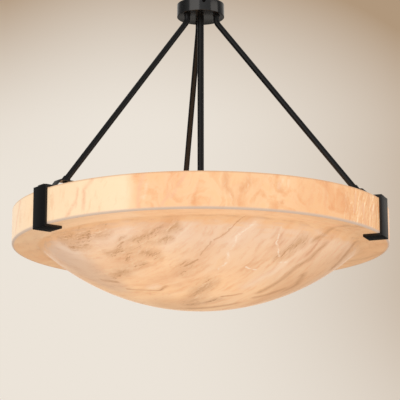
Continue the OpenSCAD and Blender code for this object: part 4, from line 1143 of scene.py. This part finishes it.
def makeArms():
    slope = math.atan2(-canopy["height"] - arm["neck"] - shelfZ, seatR - arm["topR"])
    bend, bendR = math.pi / 2 - slope, arm["bend"]
    high = -canopy["height"] - arm["neck"] + bendR * math.tan(bend / 2)
    path = [(arm["topR"], 0, -canopy["height"] - arm["collarH"]), (arm["topR"], 0, high)]
    turn = arcPoints((arm["topR"] + bendR, high), bendR, math.pi, math.pi + bend, 16, 1)
    path += [(x, 0, z) for x, z in turn]
    down = Vector((math.cos(slope), 0, -math.sin(slope)))
    seat = Vector((seatR, 0, shelfZ))
    end = seat - down * arm["ferruleL"]
    start = Vector(path[-1])
    path += [tuple(start + (end - start) * i / 12) for i in range(1, 13)]
    tube = tubeMesh("arm", path, arm["radius"], arm["sides"], blackPaint)
    fit("armTubes", roundArms(tube, blackPaint), "fixture", ["arm_1", "arm_2", "arm_3"])

    low = -canopy["height"] - arm["collarH"]
    collar = turnedMesh("collar", rounded(
        [(arm["nippleR"], low), (arm["collarR"], low), (arm["collarR"], -canopy["height"]),
            (arm["nippleR"], -canopy["height"])], [0, 0.6, 0.4, 0]), 64, blackPaint)
    collars = roundArms(moved(collar, shift(arm["topR"], 0, 0)), blackPaint)
    fit("armCollars", collars, "fixture", ["arm_collars"])

    r, length = arm["ferruleR"], arm["ferruleL"]
    block = turnedMesh("ferrule", rounded(
        [(0, -length), (r, -length), (r, 2 * r), (0, 2 * r)], [0, 0.9, 0, 0]), 72, blackPaint, closed=False)
    block.transform(Matrix.Translation(seat * mm) @ Matrix.Rotation(math.pi / 2 + slope, 4, "Y"))
    work = bmesh.new()
    work.from_mesh(block)
    cut = bmesh.ops.bisect_plane(
        work, geom=work.verts[:] + work.edges[:] + work.faces[:], plane_co=seat * mm, plane_no=(0, 0, -1),
        clear_outer=True)
    edges = [e for e in cut["geom_cut"] if isinstance(e, bmesh.types.BMEdge)]
    bmesh.ops.contextual_create(work, geom=edges)
    ferrule = bevelled(bmeshDone(work, "ferrule", blackPaint), 0.4, angle=35)
    fit("armFerrules", roundArms(ferrule, blackPaint), "fixture", ["arm_ferrules"])

    top = floorZ + arm["washer"] + arm["nutH"] + arm["out"]
    nipple = threadedTube(
        "nipple", arm["nippleR"], arm["nippleBore"], high + 0.3, top, arm["pitch"], arm["threadDepth"],
        zincPlate)
    nipples = roundArms(moved(nipple, shift(arm["topR"], 0, 0)), zincPlate)
    fit("armNipples", nipples, "fixture", ["arm_nipples"])
    bore = arm["nippleR"] + arm["slack"]
    washer = washerMesh(bore, arm["nutW"] / 2, arm["washer"], zincPlate)
    nut = moved(nutMesh("nut", arm["nutW"], arm["nutH"], bore, zincPlate), shift(0, 0, arm["washer"]))
    pair = moved(joinMeshes("nuts", [washer, nut]), shift(arm["topR"], 0, floorZ))
    fit("armNuts", roundArms(pair, zincPlate), "fixture", ["arm_nuts"])
    print("arms made")


def makeStem():
    r, bore = arm["stemR"], arm["stemR"] - arm["stemWall"]
    tube = turnedMesh("stem", [
        (bore, hubTop), (r, hubTop), (r, -canopy["height"]), (bore, -canopy["height"])], 64, blackPaint)
    fit("stemTube", tube, "fixture", ["stem"])
    topNipple = threadedTube(
        "nipple", arm["stemNippleR"], arm["stemBore"], -canopy["height"] - arm["nippleIn"],
        floorZ + arm["nutH"] + arm["out"], arm["pitch"], arm["threadDepth"], zincPlate)
    lowNipple = threadedTube(
        "nipple", arm["stemNippleR"], arm["stemBore"], hubTop - lamp["hubWall"] - arm["nutH"] - arm["out"],
        hubTop + arm["nippleIn"], arm["pitch"], arm["threadDepth"], zincPlate)
    nipples = joinMeshes("nipples", [topNipple, lowNipple])
    fit("stemNipples", nipples, "fixture", ["stem_nipples"])
    nut = nutMesh("nut", arm["stemNutW"], arm["nutH"], arm["stemNippleR"] + arm["slack"], zincPlate)
    nuts = [moved(nut, shift(0, 0, floorZ)), moved(nut, shift(0, 0, hubTop - lamp["hubWall"] - arm["nutH"]))]
    fit("stemNuts", joinMeshes("nuts", nuts), "fixture", ["stem_nuts"])
    print("stem made")


# Clips and feet, made on +X and turned to their arms

def makeClips():
    inner, low = faceR - clip["bar"], clipTop + foot["lift"]
    cee = barMesh("clip", rounded(
        [(faceR - clip["lower"], clipBottom), (faceR, clipBottom), (faceR, clipTop),
            (faceR - clip["upper"], clipTop), (faceR - clip["upper"], clipTop - clip["bar"]),
            (inner, clipTop - clip["bar"]), (inner, clipBottom + clip["bar"]),
            (faceR - clip["lower"], clipBottom + clip["bar"])],
        [clip["tip"], clip["edge"], clip["edge"], clip["tip"], clip["tip"], 0, 0, clip["tip"]]),
        clip["width"], clip["soft"], blackPaint)
    padPath = [(faceR - clip["lower"] + clip["padInset"], padBottom), (inner, padBottom), (inner, padTop),
               (faceR - clip["upper"] + clip["padInset"], padTop)]
    pad = barMesh("pad", strip(padPath, clip["pad"], 0), clip["width"] - 2 * clip["padInset"], 0.15, felt)
    path = [(seatR - travel - foot["shelfEnd"], low), (stepHighR, low), (stepLowR, clipTop),
            (faceR - foot["end"], clipTop)]
    plate = barMesh("foot", strip(path, foot["bar"], foot["bend"]), foot["width"], foot["soft"], blackPaint)
    cutters = [prism(stadium(seatR - travel / 2, 0, foot["screwR"] + foot["slack"], travel, "x"),
                     low - 2, low + foot["bar"] + 2, blackPaint)]
    top = clipTop + foot["bar"]
    screwXs = [faceR - foot["screwIn"] - foot["screwPitch"] * i for i in (0, 1)]
    holeR, sinkR = foot["clipScrewR"] + foot["slack"], foot["sinkR"] + foot["slack"]
    hole = stackMesh("hole", [
        (0, -1), (holeR, -1), (holeR, 1), (sinkR, foot["bar"]), (sinkR, foot["bar"] + 2),
        (0, foot["bar"] + 2)], 48, blackPaint)
    cutters += [moved(hole, shift(x, 0, clipTop)) for x in screwXs]
    plate = bevelled(without(plate, cutters), foot["holeEdge"])
    r, socket, shankR, tipZ = foot["sinkR"], foot["socketW"], foot["clipScrewR"], -foot["clipScrewL"]
    head = stackMesh("clipScrew", [
        (0, -1.6), (socket, -1.6, socket), (socket, -0.15, socket), (socket / 2 * 1.25, 0), (r - 0.25, 0),
        (r, -0.25), (shankR, -2.2), (shankR, tipZ), (0, tipZ)], 48, blackOxide)
    screws = joinMeshes("screws", [moved(head, shift(x, 0, top)) for x in screwXs])
    for k in range(arm["count"]):
        turn, body = turnZ(arm["first"] + 360 / arm["count"] * k), f"clip_{k + 1}"
        fit(f"rimClip{k + 1}", moved(cee, turn), body, [f"rim_clip_{k + 1}"])
        fit(f"clipLiner{k + 1}", moved(pad, turn), body, [f"clip_pad_{k + 1}"])
        fit(f"armFoot{k + 1}", moved(plate, turn), body, [f"arm_foot_{k + 1}"])
        fit(f"clipScrews{k + 1}", moved(screws, turn), body, [f"clip_screws_{k + 1}"])

    under, hexW, hexH = shelfZ - foot["bar"] - foot["washer"], foot["hexW"], foot["hexH"]
    corner, tip = hexW / math.sqrt(3), foot["washer"] + foot["bar"] + foot["boltIn"]
    bolt = stackMesh("bolt", [
        (0, -hexH), (hexW * 0.46, -hexH), (corner * 0.97, -hexH + 0.35, hexW), (corner, -hexH + 0.6, hexW),
        (corner, 0, hexW), (foot["screwR"], 0), (foot["screwR"], tip), (0, tip)], 48, blackOxide)
    washer = washerMesh(foot["screwR"] + arm["slack"], foot["washerR"], foot["washer"], blackOxide)
    bolts = moved(joinMeshes("bolts", [bolt, washer]), shift(seatR, 0, under))
    fit("footScrews", roundArms(bolts, blackOxide), "fixture", ["foot_screws"])
    print("clips made")


# Lamp cluster

def hubOutline():
    wall, wallIn = lamp["hubWall"], lamp["hubR"] - lamp["hubWall"]
    flangeR = wallIn - lamp["flange"]
    return rounded(
        [(0, hubTop), (lamp["hubR"], hubTop), (lamp["hubR"], hubLow), (flangeR, hubLow),
            (flangeR, hubLow + wall), (wallIn, hubLow + wall), (wallIn, hubTop - wall), (0, hubTop - wall)],
        [0, lamp["hubEdge"], 0.4, 0, 0, 0, lamp["hubEdge"] - wall, 0])


def makeHub():
    drum = turnedMesh("drum", hubOutline(), 144, blackPaint, closed=False)
    fit("clusterDrum", drum, "fixture", ["cluster_body"])
    low = hubLow - lamp["hubWall"]
    plate = rounded([(0, low), (lamp["hubR"], low), (lamp["hubR"], hubLow), (0, hubLow)], [0, 0.8, 0, 0])
    cover = turnedMesh("cover", plate, 144, blackPaint, closed=False)
    fit("clusterCover", cover, "fixture", ["cluster_cover"])
    r, seatX = lamp["coverScrewR"], lamp["hubR"] - lamp["hubWall"] - lamp["flange"] / 2
    screw = turnedMesh("screw", rounded(
        [(0, low - r), (2 * r, low - r), (2 * r, low), (r, low), (r, low + 2 * lamp["hubWall"] + 2),
            (0, low + 2 * lamp["hubWall"] + 2)], [0, r / 2, 0, 0, 0.4, 0]), 48, zincPlate, closed=False)
    blade = slotCutter(5 * r, lamp["coverSlotW"], low - r - 1, low - r + lamp["coverSlotDepth"], zincPlate)
    screw = soften(without(screw, [blade]))
    fit("coverScrews", ringMesh("screws", moved(screw, shift(seatX, 0, 0)), 3, 0, zincPlate), "fixture",
        ["cover_screws"])
    block = turnedMesh("block", rounded(
        [(0, axisZ - lamp["blockH"] / 2), (lamp["blockR"], axisZ - lamp["blockH"] / 2),
            (lamp["blockR"], axisZ + lamp["blockH"] / 2), (0, axisZ + lamp["blockH"] / 2)], [0, 1, 1, 0]),
        72, blockPlastic, closed=False)
    fit("terminalBlock", block, "fixture", ["terminal_block"])


def alongLamps(name, mesh, finish):
    # one piece on a lamp's own axis becomes a ring of them
    laid = moved(mesh, shift(0, 0, axisZ) @ turnY(90))
    return ringMesh(name, laid, lamp["count"], lamp["first"], finish)


def makeHolders():
    wallIn, nutR = lamp["hubR"] - lamp["hubWall"], lamp["nutW"] / math.sqrt(3)
    nutX = math.sqrt(wallIn ** 2 - nutR ** 2) - lamp["nutH"]
    nipple = threadedTube("nipple", lamp["nippleR"], lamp["nippleBore"], nutX - 2,
                          holderX + lamp["nippleSeat"], lamp["pitch"], lamp["nippleThread"], zincPlate)
    fit("lampNipples", alongLamps("nipples", nipple, zincPlate), "fixture", ["lamp_nipples"])
    nut = nutMesh("nut", lamp["nutW"], lamp["nutH"], lamp["nippleR"] + arm["slack"], zincPlate)
    nuts = joinMeshes("nuts", [moved(nut, shift(0, 0, nutX)), moved(nut, shift(0, 0, lamp["hubR"]))])
    fit("lampNuts", alongLamps("nuts", nuts, zincPlate), "fixture", ["lamp_nuts"])

    r, length, back = lamp["holderR"], lamp["holderL"], lamp["holderBack"]
    waist, bore = r - lamp["lipStep"], lamp["shellR"] + lamp["shellWall"] + 0.05
    outline = rounded(
        [(0, 0), (0.6 * r, 0), (0.6 * r, back / 3), (waist, 0.8 * back),
            (waist, length - lamp["lip"] - lamp["lipStep"]), (r, length - lamp["lip"]), (r, length),
            (bore, length), (bore, back), (0, back)],
        [0, 1, 2, 3, 1, 1, 1, 0.8, 0, 0])
    holder = turnedMesh("holder", [(x, y + holderX) for x, y in outline], 96, porcelain, closed=False)
    fit("lampholders", alongLamps("holders", holder, porcelain), "fixture",
        [f"lampholder_{k + 1}" for k in range(lamp["count"])])
    shellIn, shellOut = lamp["shellR"], lamp["shellR"] + lamp["shellWall"]
    end = socketX + lamp["shellL"]
    shell = turnedMesh("shell", [
        (shellIn, socketX), (shellOut, socketX), (shellOut, end - 0.2), (shellOut - 0.2, end),
        (shellIn, end)], 96, brassSheet)
    fit("screwShells", alongLamps("shells", shell, brassSheet), "fixture", ["screw_shells"])
    low = socketX - lamp["contactSink"]
    contact = turnedMesh("contact", rounded(
        [(0, low), (lamp["contactR"], low), (lamp["contactR"], low + lamp["contactL"]),
            (0, low + lamp["contactL"])], [0, 0, 0.8, 0]), 48, brassSheet, closed=False)
    contacts = alongLamps("contacts", contact, brassSheet)
    fit("centreContacts", contacts, "fixture", ["centre_contacts"])
    leadR, leadStart = lamp["leadR"], lamp["blockR"]
    lead = turnedMesh("lead", [(0, leadStart), (leadR, leadStart), (leadR, low), (0, low)], 24, leadSleeve,
                      closed=False)
    fit("lampLeads", alongLamps("leads", lead, leadSleeve), "fixture", ["lamp_leads"])
    print("lampholders made")


def bulbLine(inset):
    # the glass from its open neck to the pole, moved inwards by the inset
    globe, middle = lamp["globeR"], lamp["length"] - lamp["globeR"]
    low = lamp["capL"] + lamp["neckStraight"]
    rise = middle - low
    blend = (lamp["neckR"] ** 2 + rise ** 2 - globe ** 2) / (2 * (globe - lamp["neckR"]))
    flare = Vector((lamp["neckR"] + blend, low))
    touch = (flare - Vector((0, middle))).normalized()
    end = math.atan2(-touch.y, -touch.x) % (2 * math.pi)
    points = [(lamp["neckR"] - inset, lamp["capL"])] + arcPoints(flare, blend + inset, math.pi, end, 14)
    points += arcPoints((0, middle), globe - inset, math.atan2(touch.y, touch.x), math.pi / 2, 32, 1)
    points[-1] = (0, middle + globe - inset)
    return points


def makeBulbs():
    glass = turnedMesh("glass", [(x, y + tipX) for x, y in bulbLine(0)[::-1] + bulbLine(lamp["glass"])], 72,
                       bulbGlass, closed=False)
    barrel, tipR = lamp["shellR"] - 0.05, lamp["capTipR"]
    wall = denser([(barrel, 5.2), (barrel, lamp["capL"] - 1)], lamp["capPitch"] / 8)
    outline = [(0, 0), (tipR - 1, 0), (tipR, 0.8), (tipR, 2), (barrel - 3, 2)] + wall + [
        (barrel - 0.3, lamp["capL"]), (0, lamp["capL"])]
    cap = turnedMesh("cap", [(x, y + tipX) for x, y in outline], 64, nickelPlate, closed=False)
    cap = ribbedMesh("cap", cap, lamp["capDepth"], lamp["capPitch"], 1,
                     (tipX + 5.5, tipX + lamp["capL"] - 2.5), barrel - 1, nickelPlate)
    for k in range(lamp["count"]):
        fit(f"bulb{k + 1}", moved(glass, lampPlace(k)), f"lamp_{k + 1}", [f"bulb_{k + 1}"])
        fit(f"bulbCap{k + 1}", moved(cap, lampPlace(k)), f"lamp_{k + 1}", [f"bulb_cap_{k + 1}"])
    print("bulbs made")


makeBowl()
makeCanopy()
makeStrap()
makeWiring()
makeArms()
makeStem()
makeClips()
makeHub()
makeHolders()
makeBulbs()


# Camera, light and floor

camera = {
    "focal": 1670.42, "distance": 3988.0, "below": 780.0, "pitch": 12.743, "azimuth": -7.788, "yaw": 0.024,
}

room = {
    "pale": "#ece4d9", "shade": "#b0977c", "floor": "#e9e4dc", "floorZ": -2400.0, "floorR": 6000.0,
    # the backdrop's falloff, by slopes seen from the camera: axis, from, to, power, share, and how it rises
    # with the upward slope
    "falloff": [("Z", 0.268, 0.356, 1.7, 0.62, ()), ("X", -0.061, 0.123, 2.3, 0.6, (0.08, 0.18, 0.55, 1.0)),
                ("X", -0.045, -0.123, 1.6, 0.3, (0.22, 0.36))],
    # it fades sideways and behind, where the backdrop is even
    "sideways": (0.6, 0.2), "ahead": (0.0, 0.3),
    "sky": "#f7f3ee", "skyLight": 0.72,
    # what gloss mirrors, by bearing from straight ahead to the left and right, in degrees
    "mirrored": [(-180, "#a6a6a6"), (-135, "#8e8e8e"), (-90, "#505050"), (-62, "#5e5e5e"), (-35, "#b3b1ae"),
                 (0, "#e7e1d8"), (30, "#d2ccc2"), (46, "#a3a09c"), (75, "#595959"), (125, "#848484"),
                 (180, "#a6a6a6")],
    # how bright that is, from -0.5 to 0.5 of the way up
    "upwards": [(0.0, "#c0c0c0"), (0.18, "#b4b4b4"), (0.24, "#565656"), (0.46, "#505050"), (0.53, "#ffffff")],
    # the floor as gloss mirrors it, and its own faint glow
    "floorMirrored": "#505050", "floorGlow": 0.22,
    # light panels as name, place and size in metres, watts and tint, and the place that they point at
    "panels": [("softPanelLeft", (-2.6, -3.2, 0.6), 3.6, 30, "#fff9f2"),
               ("softPanelRight", (3.0, -1.6, 0.2), 2.4, 12, "#fff6ec")],
    "aim": (0, 0, -0.45),
}


def makeCamera():
    data = bpy.data.cameras.new("photoCamera")
    data.sensor_width = 36
    data.lens = camera["focal"] / 400 * 36
    data.clip_end = 100
    eye = newObject("photoCamera", data)
    azimuth = math.radians(camera["azimuth"])
    eye.location = (
        camera["distance"] * math.sin(azimuth) * mm, -camera["distance"] * math.cos(azimuth) * mm,
        (bowl["ledgeZ"] - camera["below"]) * mm)
    eye.rotation_euler = (
        math.radians(90 + camera["pitch"]), 0, math.radians(camera["azimuth"] + camera["yaw"]))
    bpy.context.scene.camera = eye


def makeBackdrop():
    # a pale backdrop where the world is seen, dim sides where it is mirrored, and an even soft light
    world = bpy.data.worlds.new("paleRoom")
    bpy.context.scene.world = world
    world.use_nodes = True
    tree = world.node_tree
    tree.nodes.clear()
    look = addNode(tree, "ShaderNodeTexCoord").outputs["Generated"]
    faced = addNode(tree, "ShaderNodeMapping", {
        "Vector": look, "Rotation": (0, 0, math.radians(-camera["azimuth"]))})
    parts = addNode(tree, "ShaderNodeSeparateXYZ", [faced]).outputs
    ahead = addNode(tree, "ShaderNodeMath", [parts["Y"]], operation="ABSOLUTE")
    ahead = addNode(tree, "ShaderNodeMath", [ahead, 0.02], operation="MAXIMUM")
    slopes = {
        axis: addNode(tree, "ShaderNodeMath", [parts[axis], ahead], operation="DIVIDE") for axis in "XZ"}
    shade = 0.0
    for axis, low, high, power, share, rising in room["falloff"]:
        ramp = addNode(tree, "ShaderNodeMapRange", [slopes[axis], low, high])
        curve = addNode(tree, "ShaderNodeMath", [ramp, power], operation="POWER")
        if rising:
            curve = masked(tree, curve, (slopes["Z"], *rising))
        shade = addNode(
            tree, "ShaderNodeMath", [curve, share, shade], operation="MULTIPLY_ADD", use_clamp=True)
    sideways = addNode(tree, "ShaderNodeMath", [slopes["X"]], operation="ABSOLUTE")
    shade = masked(tree, shade, (sideways, *room["sideways"]), (parts["Y"], *room["ahead"]))
    seen = addNode(tree, "ShaderNodeBackground", {
        "Color": layered(tree, room["pale"], (room["shade"], shade)), "Strength": 1.0})

    bearing = addNode(tree, "ShaderNodeMath", [parts["X"], parts["Y"]], operation="ARCTAN2")
    turned = addNode(tree, "ShaderNodeMath", [bearing, 0.5 / math.pi, 0.5], operation="MULTIPLY_ADD")
    around = addNode(tree, "ShaderNodeValToRGB", [turned], [
        (angle / 360 + 0.5, tint) for angle, tint in room["mirrored"]])
    upwards = addNode(tree, "ShaderNodeMapRange", [parts["Z"], -0.5, 0.5])
    upwards = addNode(tree, "ShaderNodeValToRGB", [upwards], room["upwards"])
    mirrored = addNode(tree, "ShaderNodeBackground", {"Color": around, "Strength": upwards})

    light = addNode(tree, "ShaderNodeBackground", {"Color": room["sky"], "Strength": room["skyLight"]})
    ray = addNode(tree, "ShaderNodeLightPath").outputs
    shown = addNode(
        tree, "ShaderNodeMath", [ray["Is Camera Ray"], ray["Is Transmission Ray"]], operation="MAXIMUM")
    mix = addNode(tree, "ShaderNodeMixShader", [shown, light, seen])
    mix = addNode(tree, "ShaderNodeMixShader", [ray["Is Glossy Ray"], mix, mirrored])
    addNode(tree, "ShaderNodeOutputWorld", {"Surface": mix})


def makeFloor():
    # plain matt floor, seen from above only, so that a view from under it still shows the lamp
    material, tree = newMaterial("paleFloorPaint")
    back = addNode(tree, "ShaderNodeNewGeometry").outputs["Backfacing"]
    rays = addNode(tree, "ShaderNodeLightPath").outputs
    tint = layered(tree, room["floor"], (room["floorMirrored"], rays["Is Glossy Ray"]))
    glow = addNode(tree, "ShaderNodeEmission", {
        "Color": room["pale"], "Strength": masked(tree, rays["Is Camera Ray"], room["floorGlow"])})
    paint = addNode(tree, "ShaderNodeBsdfDiffuse", {"Color": tint})
    lit = addNode(tree, "ShaderNodeAddShader", [paint, glow])
    clear = addNode(tree, "ShaderNodeBsdfTransparent")
    mix = addNode(tree, "ShaderNodeMixShader", [back, lit, clear])
    addNode(tree, "ShaderNodeOutputMaterial", {"Surface": mix})
    disc = stackMesh("floor", [(room["floorR"], room["floorZ"]), (0, room["floorZ"])], 96, material)
    if disc.polygons[0].normal.z < 0:
        disc.flip_normals()
    newObject("floor", disc)


def makeLights():
    for name, place, size, power, tint in room["panels"]:
        data = bpy.data.lights.new(name, "AREA")
        data.energy, data.size, data.color = power, size, hexColour(tint)[:3]
        panel = newObject(name, data)
        panel.location = place
        panel.rotation_euler = (Vector(room["aim"]) - panel.location).to_track_quat("-Z", "Y").to_euler()


makeCamera()
makeBackdrop()
makeFloor()
makeLights()
bpy.context.scene.view_settings.view_transform = "Standard"
